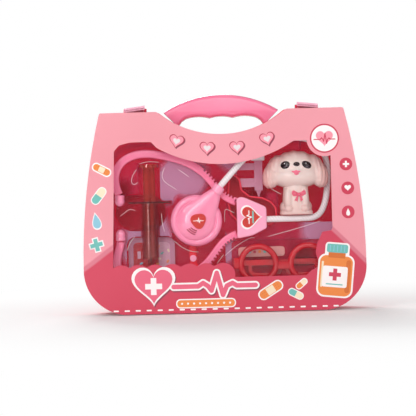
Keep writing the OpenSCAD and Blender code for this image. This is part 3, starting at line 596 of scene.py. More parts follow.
def trimmed(piece, side):  # the root is cut off along the top of the shell
    x0, z0, x1, z1 = handle["cut"]
    editAll(piece)
    bpy.ops.mesh.bisect(plane_co=(-side * x0 * mm, 0, z0 * mm), plane_no=(side * (z1 - z0), 0, x1 - x0),
                        use_fill=True, clear_outer=True)
    bpy.ops.object.mode_set(mode="OBJECT")
    cleanUp(piece, 50)


arch = cutPlate("carryHandle", [handleOutline()], handle["front"], handle["back"], handle["bevel"], 5)
for side in (-1, 1):
    trimmed(arch, side)
put(arch, handleAbs, "case", "pink_plastic", "handle")
print("handle done")


# print on the front card: thin layers of ink, each just in front of the last

ink = {"face": -33.0, "layer": 0.05}


def printed(name, outlines, material, layer):
    front = ink["face"] - ink["layer"] * (layer + 1)
    piece = cutPlate(name, outlines, front, front + ink["layer"] * 0.9)
    return put(piece, material, "cover", "printed_card")


def stroked(name, line, wide, front, thick):  # a drawn line, each of its bands just off the last
    bands = [cutPlate(name, [part], front + 0.0025 * i, front + thick)
             for i, part in enumerate(strokeParts(line, wide))]
    return joinAll(name, bands)


def inkLine(name, line, wide, material, layer):
    front = ink["face"] - ink["layer"] * (layer + 1)
    return put(stroked(name, line, wide, front, ink["layer"] * 0.9), material, "cover", "printed_card")


hearts = {"wide": 15.2, "places": ((-45.5, 172.2, -13), (-15, 164.4, -3), (15, 164.4, 3), (45.5, 172.2, 13)),
          "layers": (("Shadow", 1.0, inkShadow, 0.9, -1.1), ("Rim", 1.0, inkDarkRed, 0, 0),
                     ("Body", 0.88, inkPink, 0, 0), ("Centre", 0.47, inkPale, 0, 0))}
for layer, (part, share, colour, dx, dz) in enumerate(hearts["layers"]):
    printed("heart" + part, [placed(heartPoints(hearts["wide"] * share), x + dx, z + dz, turn)
                             for x, z, turn in hearts["places"]], colour, layer)


def pulseLine(x0, x1, z, high):  # a flat line with one heartbeat in its middle
    w = x1 - x0
    steps = ((0, 0), (0.3, 0), (0.36, 0.25), (0.42, 0), (0.46, -0.35), (0.53, 1), (0.6, -0.7), (0.65, 0),
             (0.72, 0.2), (0.77, 0), (1, 0))
    return [(x0 + w * a, z + high * b) for a, b in steps]


badge = {"x": 102.6, "z": 171.8, "radius": 14.6, "ring": 1.5}
bx, bz = badge["x"], badge["z"]
printed("badgeRing", [ringPoints(bx, bz, badge["radius"])], inkRed, 0)
printed("badgeFace", [ringPoints(bx, bz, badge["radius"] - badge["ring"])], inkWhite, 1)
printed("badgeHeart", [placed(heartPoints(17), bx, bz - 0.5)], inkPink, 2)
inkLine("badgePulse", pulseLine(bx - 10.5, bx + 10.5, bz - 1, 6), 1.0, inkRed, 3)

discs = {"x": (123.4, 124.6, 124.4), "z": (145.5, 121.5, 97.5), "radius": 6.4}
for name, x, z in zip(("Plus", "Heart", "Drop"), discs["x"], discs["z"]):
    printed("disc" + name, [ringPoints(x, z, discs["radius"])], inkRed, 0)
    mark = {"Plus": plusPoints(6.4, 2), "Heart": heartPoints(6.6), "Drop": dropPoints(7.4)}[name]
    printed("disc" + name + "Mark", [placed(mark, x, z)], inkWhite, 1)

dashes = {"z": 4.1, "first": -110, "pitch": 11, "count": 21, "wide": 5.3, "high": 1.6}
printed("cardDashes", [placed(roundedBox(dashes["wide"], dashes["high"], 0.7, 2),
                              dashes["first"] + i * dashes["pitch"], dashes["z"])
                       for i in range(dashes["count"])], inkWhite, 0)

# large heart with a plus, and a long pulse line that runs from it
title = {"heart": (-72, 27.5, 44), "line": (-52, 30, 27, 13), "wide": 4.6, "rim": 1.7}
hx, hz, hw = title["heart"]
x0, x1, lineZ, lineHigh = title["line"]
titleLine = pulseLine(x0, x1, lineZ, lineHigh)
inkLine("titleLineShadow", [(x + 1, z - 1.4) for x, z in titleLine], 8, inkShadow, 0)
printed("titleHeartShadow", [placed(heartPoints(hw), hx + 1, hz - 1.4)], inkShadow, 1)
inkLine("titleLineRim", titleLine, title["wide"] + 2 * title["rim"], inkWhite, 2)
printed("titleHeartRim", [placed(heartPoints(hw), hx, hz)], inkWhite, 3)
inkLine("titleLine", titleLine, title["wide"], inkDeepPink, 4)
printed("titleHeart", [placed(heartPoints(hw - 6), hx, hz)], inkDeepPink, 5)
printed("titlePlus", [placed(plusPoints(17, 5.6), hx, hz + 0.5)], inkWhite, 6)


def sticking(name, x, z, turn, long, wide, layer):  # an adhesive bandage
    holes = [ringPoints(a * long * 0.3 + b * 1.2, c * 1.3, 0.42, 10)
             for a in (-1, 1) for b in (-1, 1) for c in (-1, 1)]
    for part, outlines, colour, above in (
            ("Rim", [roundedBox(long + 2.6, wide + 2.6, wide / 2 + 1)], inkWhite, 0),
            ("Strip", [roundedBox(long, wide, wide / 2 - 0.1)], inkOrange, 1),
            ("Pad", [roundedBox(long * 0.34, wide - 1, 0.6)], inkCream, 2),
            ("Holes", holes, inkOrangeDark, 2)):
        printed(name + part, [placed(outline, x, z, turn) for outline in outlines], colour, layer + above)


def capsule(name, x, z, turn, long, wide, first, layer):  # a two-tone capsule with a white rim
    half = arcPoints(-long / 2 + wide / 2, 0, wide / 2 - 0.05, 90, 270, 12) + [(0, -wide / 2), (0, wide / 2)]
    for above, (part, outline, colour) in enumerate((
            ("Rim", roundedBox(long + 1.8, wide + 1.8, wide / 2 + 0.8), inkWhite),
            ("Body", roundedBox(long, wide, wide / 2 - 0.05), inkCream),
            ("Half", half, first))):
        printed(name + part, [placed(outline, x, z, turn)], colour, layer + above)


sticking("bandage", 45, 21.5, 32, 25, 8.5, 4)
capsule("capsuleLow", 70, 17, -28, 15, 6, inkTeal, 0)
capsule("capsuleHigh", 76, 27, 40, 12, 5, inkOrange, 0)
printed("plateRim", [placed(roundedBox(60, 9.4, 4.4), -20, 10)], inkWhite, 0)
printed("plate", [placed(roundedBox(57.6, 7, 3.3), -20, 10)], inkOrange, 1)
printed("plateDots", [ringPoints(-44 + 6 * i, 10, 1.1, 14) for i in range(9)], inkWhite, 2)

# motifs down the left side
capsule("capsuleSide", -124.5, 120, 52, 18, 7.5, inkTeal, 0)
sticking("bandageSide", -121, 146, -28, 18, 6.5, 0)
printed("dropSideRim", [placed(dropPoints(18), -127.5, 95, 10)], inkWhite, 0)
printed("dropSide", [placed(dropPoints(15), -127.5, 94.9, 10)], inkBlue, 1)
printed("plusSideRim", [placed(plusPoints(15, 6.4), -128, 71, 14)], inkWhite, 0)
printed("plusSide", [placed(plusPoints(12.6, 4), -128, 71, 14)], inkTeal, 1)

# medicine bottle in the right corner
bottle = {"x": 110, "z": 34, "wide": 33, "high": 40, "turn": -6, "ribs": 5, "ribPitch": 3.6}
capRibs = [("CapRib%d" % i, roundedBox(0.8, 6.4, 0.35), -7.2 + bottle["ribPitch"] * i, 27.4, inkBlue, 4)
           for i in range(bottle["ribs"])]
for part, outline, dx, dz, colour, layer in (
        ("Rim", roundedBox(bottle["wide"] + 3.4, bottle["high"] + 3.4, 8), 0, 0, inkWhite, 0),
        ("NeckRim", roundedBox(24.4, 16, 3.5), 0, 25.3, inkWhite, 0.5),
        ("Body", roundedBox(bottle["wide"], bottle["high"], 6.6), 0, 0, inkOrange, 1),
        ("Shade", roundedBox(5, bottle["high"] - 7, 2.4), 12.4, 0, inkOrangeDark, 2),
        ("Glint", roundedBox(2, bottle["high"] - 14, 0.9), -13.6, 1, inkCream, 2),
        ("Neck", roundedBox(17, 6, 1), 0, 20.9, inkOrangeDark, 2),
        ("Cap", roundedBox(21, 8.6, 2), 0, 27.4, inkTeal, 3),
        ("Label", roundedBox(25, 21, 2), -0.6, -1, inkWhite, 3),
        ("Plus", plusPoints(12, 4), -0.6, 1.2, inkRed, 4),
        ("Line", roundedBox(17, 1.1, 0.5), -0.6, -8.6, inkTeal, 4), *capRibs):
    printed("bottle" + part, [placed(placed(outline, dx, dz), bottle["x"], bottle["z"], bottle["turn"])],
            colour, layer)
print("card printed")


# tray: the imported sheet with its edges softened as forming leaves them
tray = {"nodes": ("tray_sheet", "tray_posts", "tray_pockets_left", "tray_pockets_low", "tray_pockets_right"),
        "bevel": 0.38, "front": -12.0, "streakRadius": 0.27}
for node in tray["nodes"]:  # the flat sheet itself is too thin to round
    bevel = 0 if node == "tray_sheet" else tray["bevel"]
    put(softened(node, bevel, 2), traySheet, "case", "clear_tray", node)
# painted highlights: thin white rods laid along the lands and pocket edges, drawn as the streaks of light
# those edges catch
glintStreaks = {"syringeLeft": [(-105, 99), (-98, 104), (-94, 107), (-89, 104)],
         "syringeRight": [(-63, 101), (-62.5, 94), (-62, 88), (-60, 82)],
         "pillLeft": [(-98.5, 64), (-97, 69), (-94, 74), (-90.5, 78)],
         "thumbTop": [(-84, 151.5), (-79, 153.2), (-72, 153.8), (-64, 152.6)],
         "landLeft": [(-58.5, 147), (-61, 142), (-61.5, 137), (-58, 131.5), (-52, 128), (-47, 124.5)],
         "landTop": [(-45, 145), (-39, 141), (-34, 137)],
         "underChest": [(-51, 73), (-46, 68), (-39, 63.5), (-32, 61), (-26, 60.8)],
         "dishCorner": [(1, 90), (1, 97), (1.2, 104.5), (6, 102), (11, 99.5)],
         "syringeDrop": [(-87, 146), (-91, 141), (-93, 134), (-91, 130.5), (-88, 131), (-86, 133)],
         "armLow": [(-8, 48.5), (-5, 52.5), (-1, 57.5)],
         "glassesTop": [(0, 56), (8, 63.5), (18, 69.5), (28, 75), (31, 73.5)],
         "tubeUnder": [(44, 74.5), (58, 78), (74, 82), (90, 86.5), (98, 89)],
         "puppyLeft": [(47, 124), (53, 120.5), (59, 117)]}
for name, line in glintStreaks.items():
    ends = [line[0]] + line + [line[-1]]
    rod = tube("glintStreak_" + name, [(x, tray["front"], z) for x, z in ends], tray["streakRadius"], 3, 6, 0.2)
    put(rod, glintStreakPet, "case", "clear_tray")
print("tray done")


# stethoscope

chest = {"x": -27.6, "z": 92.8, "angle": 54, "neck": 34, "root": 3, "y": -22.6, "steps": 12,
         "half": (18.4, 12.7), "high": (7.2, 1.4), "taper": 1.25, "voxel": 0.42,
         "profile": [(8, -26.8), (13, -26.6), (16.5, -26), (18.2, -24.8), (18.8, -23.4), (19.6, -23.4),
                     (20.4, -24.4), (21.8, -24.8), (24, -24), (25.5, -22.2), (26, -20), (26, -15.5),
                     (25.4, -14.2), (24, -13.5)]}
chestDir = (math.cos(math.radians(chest["angle"])), math.sin(math.radians(chest["angle"])))


def lathe(name, profile, x, z, detail=96):  # turned round a line along Y; profile holds (radius, y) pairs
    choose()
    bpy.ops.mesh.primitive_circle_add(vertices=detail, radius=profile[0][0] * mm, fill_type="NOTHING",
                                      location=(x * mm, profile[0][1] * mm, z * mm),
                                      rotation=(math.radians(90), 0, 0))
    piece = bpy.context.object
    piece.name = name
    settle(piece)
    editAll(piece)
    for (r0, y0), (r1, y1) in zip(profile, profile[1:]):
        bpy.ops.mesh.extrude_edges_move(TRANSFORM_OT_translate={"value": (0, (y1 - y0) * mm, 0)})
        bpy.ops.transform.resize(value=(r1 / r0, 1, r1 / r0), center_override=(x * mm, y1 * mm, z * mm))
    bpy.ops.mesh.edge_face_add()
    bpy.ops.mesh.select_all(action="DESELECT")
    bpy.ops.object.mode_set(mode="OBJECT")
    for vertex in piece.data.vertices[:detail]:
        vertex.select = True
    bpy.ops.object.mode_set(mode="EDIT")
    bpy.ops.mesh.edge_face_add()
    bpy.ops.object.mode_set(mode="OBJECT")
    cleanUp(piece, 30)
    return piece


def chestPiece():  # a turned disc with a neck that narrows towards the tube
    c = chest
    parts = [lathe("chestDisc", c["profile"], c["x"], c["z"])]
    for i in range(c["steps"] + 1):
        t = i / c["steps"]
        away = -c["root"] + (c["neck"] + c["root"]) * t
        half = c["half"][0] - c["half"][1] * t ** c["taper"]
        parts.append(ball(c["x"] + chestDir[0] * away, c["y"], c["z"] + chestDir[1] * away,
                          half, c["high"][0] - c["high"][1] * t, half, detail=24))
    return fuse("chestPiece", parts, c["voxel"], 4)


def frontOf(piece, x, z):  # depth of a form's front surface at a place, in millimetres
    found, place, normal, index = piece.ray_cast(Vector((x * mm, -0.2, z * mm)), Vector((0, 1, 0)))
    return place.y / mm if found else 0.0


chestFace = chestPiece()
put(chestFace, pinkAbs, "case", "pink_plastic", "chest_piece")
dress(whiteAbs, "diaphragm")


def collar():  # ribbed ring where the tube enters the chest piece
    c = chest
    start = Vector((c["x"] + chestDir[0] * c["neck"], -24.7, c["z"] + chestDir[1] * c["neck"]))
    bpy.ops.mesh.primitive_cylinder_add(vertices=48, radius=5.6 * mm, depth=8 * mm)
    ring = bpy.context.object
    ring.name = "tubeCollar"
    ring.rotation_euler.y = math.radians(90 - c["angle"])
    ring.location = (start + Vector((chestDir[0], 0, chestDir[1])) * 4) * mm
    settle(ring)
    useModifier(ring, "BEVEL", width=0.8 * mm, segments=3)
    crease(35)
    return ring


put(collar(), collarAbs, "case", "pink_plastic")

sticker = {"x": -25.5, "z": 92.5, "front": -30.2}


def stuck(name, outlines, front, thick, material, *nodes):  # a flat sticker on a face that looks forward
    return put(cutPlate(name, outlines, front, front + thick), material, "case", "sticker", *nodes)


def stuckLine(name, line, wide, front, thick, material):
    return put(stroked(name, line, wide, front, thick), material, "case", "sticker")


pick = []  # a rounded triangle, like a guitar pick
for i in range(40):
    t = math.radians(9 * i)
    reach = 7.6 * (1 + 0.1 * math.sin(3 * t - 0.35))
    pick.append((sticker["x"] + math.cos(t) * reach, sticker["z"] + math.sin(t) * reach))
stuck("chestSticker", [pick], sticker["front"], 0.7, inkSticker, "chest_sticker")
stuckLine("chestStickerPulse", pulseLine(sticker["x"] - 5, sticker["x"] + 5, sticker["z"], 3), 0.6,
          sticker["front"] - 0.06, 0.1, inkWhite)
sound = {"arcs": ((10.2, 222, 258), (12.2, 219, 256), (14.2, 216, 254)), "wide": 1.0, "lift": 0.2,
         "deep": 1.8}
for i, (radius, start, end) in enumerate(sound["arcs"]):
    arcLine = arcPoints(sticker["x"], sticker["z"], radius, start, end, 8)
    level = min(frontOf(chestFace, x, z) for x, z in arcLine)
    stuckLine("soundArc%d" % i, arcLine, sound["wide"], level - sound["lift"], sound["deep"], inkSound)

tubeRoute = [
    (-7.62, -24.7, 120.31), (-2.9, -24.6, 126.6), (0, -24.5, 130.0), (9, -24, 140), (20, -23, 152),
    (31, -21, 162), (43, -19, 169), (57, -17, 173), (71, -16, 174.5), (84, -15.4, 173.5), (94, -10.5, 169.5),
    (101, -5.5, 163), (105, -2.8, 155), (107, -1.6, 146), (107.2, -1.6, 136), (106.6, -1.8, 126),
    (105.4, -3, 116), (103.6, -5, 108), (100.8, -7.8, 101), (97, -10.5, 95.8), (91.5, -12.8, 92.9),
    (84, -15.2, 92.3), (71, -16.2, 92.3), (58, -17, 92.3), (48.1, -18, 92.3), (43.1, -18, 92.3)]
put(tube("stethoscopeTube", tubeRoute, 3.2), tubePvc, "case", "white_tube", "steth_tube")

yoke = {"x": 28, "z": 94.8, "front": -24.0, "back": -12.0, "round": 1.6, "label": 24.5, "heart": 21,
        "line": [(13.2, 111.8), (13.9, 113.9), (16, 115), (18.5, 115.3), (21.5, 114.6), (39.8, 106.3),
                 (42.2, 104.8), (43.1, 102.6), (43.1, 84.6), (42.3, 82.9), (30, 76.9), (28, 76.2), (15, 73.7),
                 (13.6, 74.4), (13.2, 76)]}
yx, yz, yokeFace = yoke["x"], yoke["z"], yoke["front"]
yokeBody = cutPlate("yoke", [yoke["line"]], yoke["front"], yoke["back"], yoke["round"], 4)
put(yokeBody, yokeSheenPink, "case", "pink_plastic", "yoke")
stuck("yokeStickerRim", [placed(heartPoints(yoke["label"]), yx, yz, 90)], yokeFace - 0.3, 0.3, inkWhite,
      "yoke_sticker")
stuck("yokeStickerHeart", [placed(heartPoints(yoke["heart"]), yx, yz, 90)], yokeFace - 0.36, 0.1, inkSticker)
stuck("yokeStickerBar", [placed(roundedBox(1.6, 12.5, 0.7), yx + 1.4, yz)], yokeFace - 0.42, 0.1, inkTeal)
beat = ((-6.5, 0), (-2.5, 0), (-1.5, 1), (0, -2.6), (1.5, 2.2), (2.5, 0), (6.5, 0))
stuckLine("yokeStickerPulse", [(yx - 2.6 - b, yz + a) for a, b in beat], 0.9, yokeFace - 0.42, 0.1, inkWhite)

headset = {"axis": 94.3, "wide": 8.2, "front": -18.5, "back": -12.0, "round": 2.1, "first": 5.0, "pitch": 3.7,
           "count": 12, "notch": (1.9, 2.4), "endX": -104.4}
earTip = {"x": -104.6, "y": -17.2, "radius": 5.0, "high": 5.8, "sunk": 0.6, "brim": 3.4, "brimHalf": 1.7}
sides = {"upper": {"flip": 1, "end": 120.4, "bud": 115.1}, "lower": {"flip": -1, "end": 114.6, "bud": 79.3}}
armLine = [(13.2, 110.6), (6, 113.6), (-0.5, 118), (-5.5, 123.8), (-10.2, 130), (-15, 136.2), (-20.5, 141.8),
           (-29, 148), (-40, 153.4), (-51, 157), (-61, 159.2), (-71, 161), (-81, 161.5), (-90, 160),
           (-98, 156.5), (-104, 151), (-107.6, 144.5), (-109, 137), (-108.3, 129.5), (-106, 122.5)]


def smoothed(line, rounds=2):  # cuts the corners of an open line
    for _ in range(rounds):
        cut = [line[0]]
        for (ax, az), (bx, bz) in zip(line, line[1:]):
            for near in (0.75, 0.25):
                cut.append((near * ax + (1 - near) * bx, near * az + (1 - near) * bz))
        line = cut + [line[-1]]
    return line


def alongLine(line, reach):  # the place and direction at a distance from the start of a line
    for (ax, az), (bx, bz) in zip(line, line[1:]):
        step = math.hypot(bx - ax, bz - az)
        if reach <= step:
            return ax + (bx - ax) * reach / step, az + (bz - az) * reach / step, math.atan2(bz - az, bx - ax)
        reach -= step
    return line[-1][0], line[-1][1], 0.0


def bandOutline(line, wide):
    edges = ([], [])
    for i in range(len(line)):
        (ax, az), (bx, bz) = line[max(i - 1, 0)], line[min(i + 1, len(line) - 1)]
        step = math.hypot(bx - ax, bz - az)
        nx, nz = (bz - az) / step * wide / 2, (ax - bx) / step * wide / 2
        edges[0].append((line[i][0] + nx, line[i][1] + nz))
        edges[1].append((line[i][0] - nx, line[i][1] - nz))
    return edges[0] + edges[1][::-1]


def headsetArm(side):  # a rounded band with teeth cut in its outer edge near the yoke
    h = headset
    wide, deep = h["notch"]

    def flipped(outline):
        return [(x, h["axis"] + sides[side]["flip"] * (z - h["axis"])) for x, z in outline]

    line = smoothed(armLine + [(h["endX"], sides[side]["end"])])
    arm = cutPlate("headsetArm_" + side, [flipped(bandOutline(line, h["wide"]))], h["front"], h["back"],
                   h["round"], 4)
    cutters = []
    for i in range(h["count"]):
        x, z, turn = alongLine(line, h["first"] + h["pitch"] * i)
        x, z = x + math.sin(turn) * h["wide"] / 2, z - math.cos(turn) * h["wide"] / 2
        box = placed(roundedBox(wide, 2 * deep, 0.3, 2), x, z, math.degrees(turn))
        cutters.append(cutPlate("tooth", [flipped(box)], h["front"] - 1, h["back"] + 1))
    cutter = joinAll("teeth", cutters)
    useModifier(arm, "BOOLEAN", object=cutter, operation="DIFFERENCE", solver="EXACT")
    bpy.data.objects.remove(cutter)
    cleanUp(arm, 40)
    return arm


def earBud(side):  # an egg-shaped tip with a short neck on the end of the arm
    e = earTip
    flip, z = sides[side]["flip"], sides[side]["bud"]
    bud = ball(e["x"], e["y"], z - flip * e["sunk"], e["radius"], e["radius"], e["high"], detail=40)
    middle = -z - flip * e["brim"]
    brim = cutPlate("brim", [ringPoints(e["x"], e["y"], e["radius"], 48)], middle - e["brimHalf"],
                    middle + e["brimHalf"], 0.7, 3)
    return fuse("earBud_" + side, [bud, laidFlat(brim)], 0.35, 3)


for side in sides:
    put(headsetArm(side), armAbs, "case", "pink_plastic", "headset_arm_" + side)
    put(earBud(side), pinkAbs, "case", "deep_pink_plastic", "ear_tip_" + side)
print("stethoscope done")


# syringe

dress(sealRubber, "plunger_seal")
put(softened("syringe_barrel", 0.3), syringeTint, "case", "red_clear", "syringe_barrel")
put(softened("syringe_plunger", 0.3), plungerTint, "plunger", "red_clear", "syringe_plunger")
syringe = {"x": -74.5, "y": -16.0, "flangeTop": 112.7, "thick": 1.6, "flange": (43, 17), "bore": 8.4}


def flangeLip():  # the flange seen edge on is drawn as the darkest line of the barrel: a near-black lip, painted shade
    s = syringe
    wide, deep = s["flange"]
    outer = placed(roundedBox(wide + 0.3, deep + 0.3, 4, 8), s["x"], s["y"])
    lip = cutPlate("flangeLip", [outer, ringPoints(s["x"], s["y"], s["bore"] + 0.4, 48)],
                   -s["flangeTop"] - 0.1, -s["flangeTop"] + s["thick"] - 0.4, 0.3, 2)
    return laidFlat(lip)


put(flangeLip(), flangeShadeTint, "case", "red_clear")


# glasses

glasses = {"x": 59, "z": 47.4, "pitch": 50.4, "ring": 17.8, "rod": 3.0, "y": -21.5, "bridge": 13.6,
           "pin": 47.35, "hinges": {-1: -16.9, 1: -13.5}, "leaves": ((43.2, 45.6), (51.6, 54.0))}


def block(x, wide, front, back, low, high, bevel=0.5):
    return cutPlate("block", [placed(roundedBox(wide, high - low, bevel + 0.3, 2), x, (low + high) / 2)],
                    front, back, bevel, 2)


def glassesFront():  # two round rims joined by a bridge, with a hinge block at each end
    g = glasses
    parts = [block(g["x"], g["bridge"], g["y"] - 2, g["y"] + 2, g["z"] - 5.6, g["z"] + 1.8)]
    for side, back in g["hinges"].items():
        bpy.ops.mesh.primitive_torus_add(major_segments=72, minor_segments=20, major_radius=g["ring"] * mm,
                                         minor_radius=g["rod"] * mm, rotation=(math.radians(90), 0, 0),
                                         location=((g["x"] + side * g["pitch"] / 2) * mm, g["y"] * mm,
                                                   g["z"] * mm))
        rim = bpy.context.object
        settle(rim)
        bpy.ops.object.shade_smooth()
        pin = g["x"] + side * g["pin"]
        parts += [rim, block(pin, 5.5, g["y"] - 2.5, g["y"] + 2.5, g["leaves"][0][0], g["leaves"][1][1])]
        parts += [block(pin, 3, g["y"], back, low, high, 0.3) for low, high in g["leaves"]]
    return joinAll("glassesFront", parts)


put(glassesFront(), redAbs, "case", "red_plastic", "glasses_frame")
for side in ("left", "right"):
    put(softened("temple_" + side, 0.9, 3, 30), redAbs, "case", "red_plastic", "temple_" + side)
put(softened("plaster_strip", 0.3), creamVinyl, "case", "cream_vinyl", "plaster_strip")
strip = {"x": 20, "pitch": 5.2, "z": 59.5, "dot": 1.5, "front": -11.78}
for i, colour in enumerate((inkTeal, inkBlue, inkRed, inkOrange, inkTeal, inkPink)):
    dot = ringPoints(strip["x"] + strip["pitch"] * i, strip["z"], strip["dot"], 20)
    stuck("stripDot%d" % i, [dot], strip["front"], 0.1, colour)
print("glasses done")


# small toys

for node, material, finish, bevel in (("kidney_dish", dishTint, "red_clear", 0.5),
                                      ("oval_dish", ovalTint, "red_clear", 0.5),
                                      ("pill_box", boxClear, "clear_box", 0.5),
                                      ("pill_box_lid", boxClear, "clear_box", 0.4),
                                      ("dropper_cap", whiteAbs, "white_plastic", 0.6),
                                      ("scissor_blade_back", scissorAbs, "red_plastic", 0.4),
                                      ("scissor_rivet", collarAbs, "white_plastic", 0.3)):
    put(softened(node, bevel, 3), material, "case", finish, node)
dropper = {"front": -9.5, "back": -1.5, "step": 0.4, "edge": 0.7,
           "bars": ((32.2, 40.6, 121.5, 152), (17.5, 32.6, 125.2, 134.2), (15.5, 32.6, 142.5, 149.5)),
           "nozzle": [(33.4, 122), (35.4, 117), (35.4, 115.2), (37.3, 115.2), (37.3, 117), (39.3, 122)]}
outlines = [[(x0, z0), (x1, z0), (x1, z1), (x0, z1)] for x0, x1, z0, z1 in dropper["bars"]]
dropperParts = [cutPlate("dropperPart", [outline], dropper["front"] + dropper["step"] * i,
                         dropper["back"] - dropper["step"] * i, dropper["edge"], 3)
                for i, outline in enumerate(outlines + [dropper["nozzle"]])]
put(joinAll("dropper", dropperParts), dropperClear, "case", "lilac_plastic", "dropper_body")
put(softened("scissor_blade_front", 0.4, 3), scissorAbs, "scissor_front", "red_plastic",
    "scissor_blade_front")

# the card in the pill box is red on its left and lilac on its right, with a few loose pills on it
pillBox = {"x": -74, "z": 54.5, "wide": 48, "high": 45, "corner": 7, "front": -4.0, "card": -2.6,
           "pills": ((-66.9, 67, 70, inkOrange), (-63.6, 60.4, 35, inkTeal), (-66.3, 55, -20, inkCream),
                     (-68.3, 49.6, 10, inkOrange), (-85, 50.3, 20, inkBlue), (-57, 63, 110, inkCream),
                     (-58, 52, 60, inkOrange))}
put(softened("pill_card", 0.1, 1), inkPill, "case", "sticker", "pill_card")
stuck("pillCardRight", [placed(roundedBox(13.4, 37, 2), -60.4, 54.5)], pillBox["card"] - 0.1, 0.1, inkLilac)
stuck("pillCardLabel", [placed(roundedBox(3.4, 7.4, 0.6), -87, 59)], pillBox["card"] - 0.1, 0.1, inkLilac)
rim = [placed(roundedBox(pillBox["wide"] - cut, pillBox["high"] - cut, pillBox["corner"] - cut / 4),
              pillBox["x"], pillBox["z"]) for cut in (0.8, 10.5)]
put(cutPlate("pillBoxRim", rim, pillBox["front"] - 0.15, pillBox["front"] - 0.02), boxMilk, "case",
    "clear_box")
for i, (x, z, turn, colour) in enumerate(pillBox["pills"]):
    pill = cutPlate("pill%d" % i, [placed(roundedBox(3.6, 1.9, 0.9), x, z, turn)], pillBox["card"] - 0.85,
                    pillBox["card"] - 0.05, 0.3)
    put(pill, colour, "case", "sticker")
print("small toys done")


# puppy figure: soft vinyl forms melted together, with combed grooves on its coat

puppy = {"x": 73.7, "y": -9.9, "z": 140, "foot": 96.1,
         "ears": ((20, -1, 4, 9, 11, 14, -30), (25, -3.5, -4, 8.4, 10, 11, -8),
                  (25.6, -4, -9.6, 7.6, 9, 7.4, 0)),
         "legs": ((8, -12.6, 6.2, 4.5, 4.2, 3.6, 0), (8.2, -9.4, 15, 4.4, 5.2, 12, 0),
                  (12.2, 2, 7.4, 4.2, 9.5, 6, 0))}
px, py, pz = puppy["x"], puppy["y"], puppy["z"]


def pairs(forms, level):  # the same rounded forms on both sides of the middle
    return [ball(px + side * x, py + y, level + z, rx, ry, rz, (0, side * tilt, 0))
            for side in (-1, 1) for x, y, z, rx, ry, rz, tilt in forms]


def combed(piece, where):  # pushes the surface in and out along a groove pattern, in millimetres
    for vertex in piece.data.vertices:
        x, y, z = (v / mm for v in vertex.co)
        vertex.co += vertex.normal * where(x - px, y - py, z - pz) * mm


def coat(x, y, z):
    ear = max(0.0, min(1.0, (abs(x) - 19) / 5))
    crown = max(0.0, min(1.0, (z - 9 + 0.02 * x * x) / 6)) * (1 - ear)
    earLocks = math.sin(abs(x) * 1.55 + 0.05 * z * z / 4 + y * 0.5)
    swirl = math.sin(x * 0.62 + 0.9 * math.sin(z * 0.35) + 2)
    return 0.34 * ear * earLocks + 0.38 * crown * swirl


def puppyHead():
    parts = [ball(px, py, pz + 3, 24, 19.2, 17.8, detail=48),
             ball(px, py - 1.0, pz - 5, 26, 17.6, 12.4, detail=48),
             ball(px, py - 16.2, pz + 1, 8, 3.8, 5.6)]
    face = fuse("puppyHead", parts + pairs(puppy["ears"], pz), 0.7, 8)
    combed(face, coat)
    return face


def puppyBody():
    foot = puppy["foot"]
    bpy.ops.mesh.primitive_cone_add(vertices=64, radius1=14.6 * mm, radius2=12.2 * mm, depth=30 * mm,
                                    location=(px * mm, py * mm, (foot + 16) * mm))
    torso = bpy.context.object
    settle(torso)
    base = cutPlate("base", [placed(roundedBox(33, 27, 9), px, py - 1)], -foot - 4.2, -foot, 1.2, 3)
    return fuse("puppyBody", [torso, laidFlat(base)] + pairs(puppy["legs"], foot), 0.6, 6)


head = puppyHead()
put(head, creamVinyl, "case", "cream_vinyl", "puppy_head")
body = puppyBody()
put(body, paleVinyl, "case", "cream_vinyl", "puppy_body")


def button(name, dx, dz, wide, high, deep, turn, material, sunk=0.5, *nodes):  # pressed onto the face
    x, z = px + dx, pz + dz
    slope = (frontOf(head, x + 1.5, z) - frontOf(head, x - 1.5, z)) / 3
    lean = (frontOf(head, x, z + 1.5) - frontOf(head, x, z - 1.5)) / 3
    piece = ball(0, 0, 0, wide / 2, deep, high / 2, (0, turn, 0))
    piece.name = name
    piece.rotation_euler = (-math.atan(lean), 0, math.atan(slope))
    piece.location = (x * mm, (frontOf(head, x, z) + sunk) * mm, z * mm)
    settle(piece)
    bpy.ops.object.shade_smooth()
    return put(piece, material, "case", "black_paint", *nodes)


eyes = {"left": (-10.6, 6.2, 10.1, 8.1, -6), "right": (10.8, 6.0, 10.9, 7.6, 22)}
for side, (dx, dz, wide, high, turn) in eyes.items():
    nodes = ["puppy_eyes"] if side == "left" else []
    button("eye_" + side, dx, dz, wide, high, 1.3, turn, blackGloss, 0.7, *nodes)
    # partly a grey iris, partly painted reflection in each eye
    button("irisReflection_" + side, dx + 0.3, dz - 1.5, wide * 0.34, high * 0.17, 0.5, turn - 14, eyeGrey, -0.3)
    # painted highlight: a small white glint on each eye
    button("glint_" + side, dx - 0.7, dz + 1.4, 1.3, 1.3, 0.5, 0, glintWhite, -0.35)
button("nose", 0.6, 6.8, 6.6, 4.5, 1.9, 0, blackGloss, 0.2, "puppy_nose")
button("mouth", -0.1, -0.4, 9, 3.4, 0.8, 0, tonguePink, 0.45)
button("tongue", 0.3, -2.0, 4.8, 4.8, 0.9, 0, tonguePink, 0.3, "puppy_tongue")
for side in (-1, 1):
    button("cheek_%d" % side, side * 2.3, 0.9, 4.4, 1.8, 0.7, side * 12, creamVinyl, 0.0)


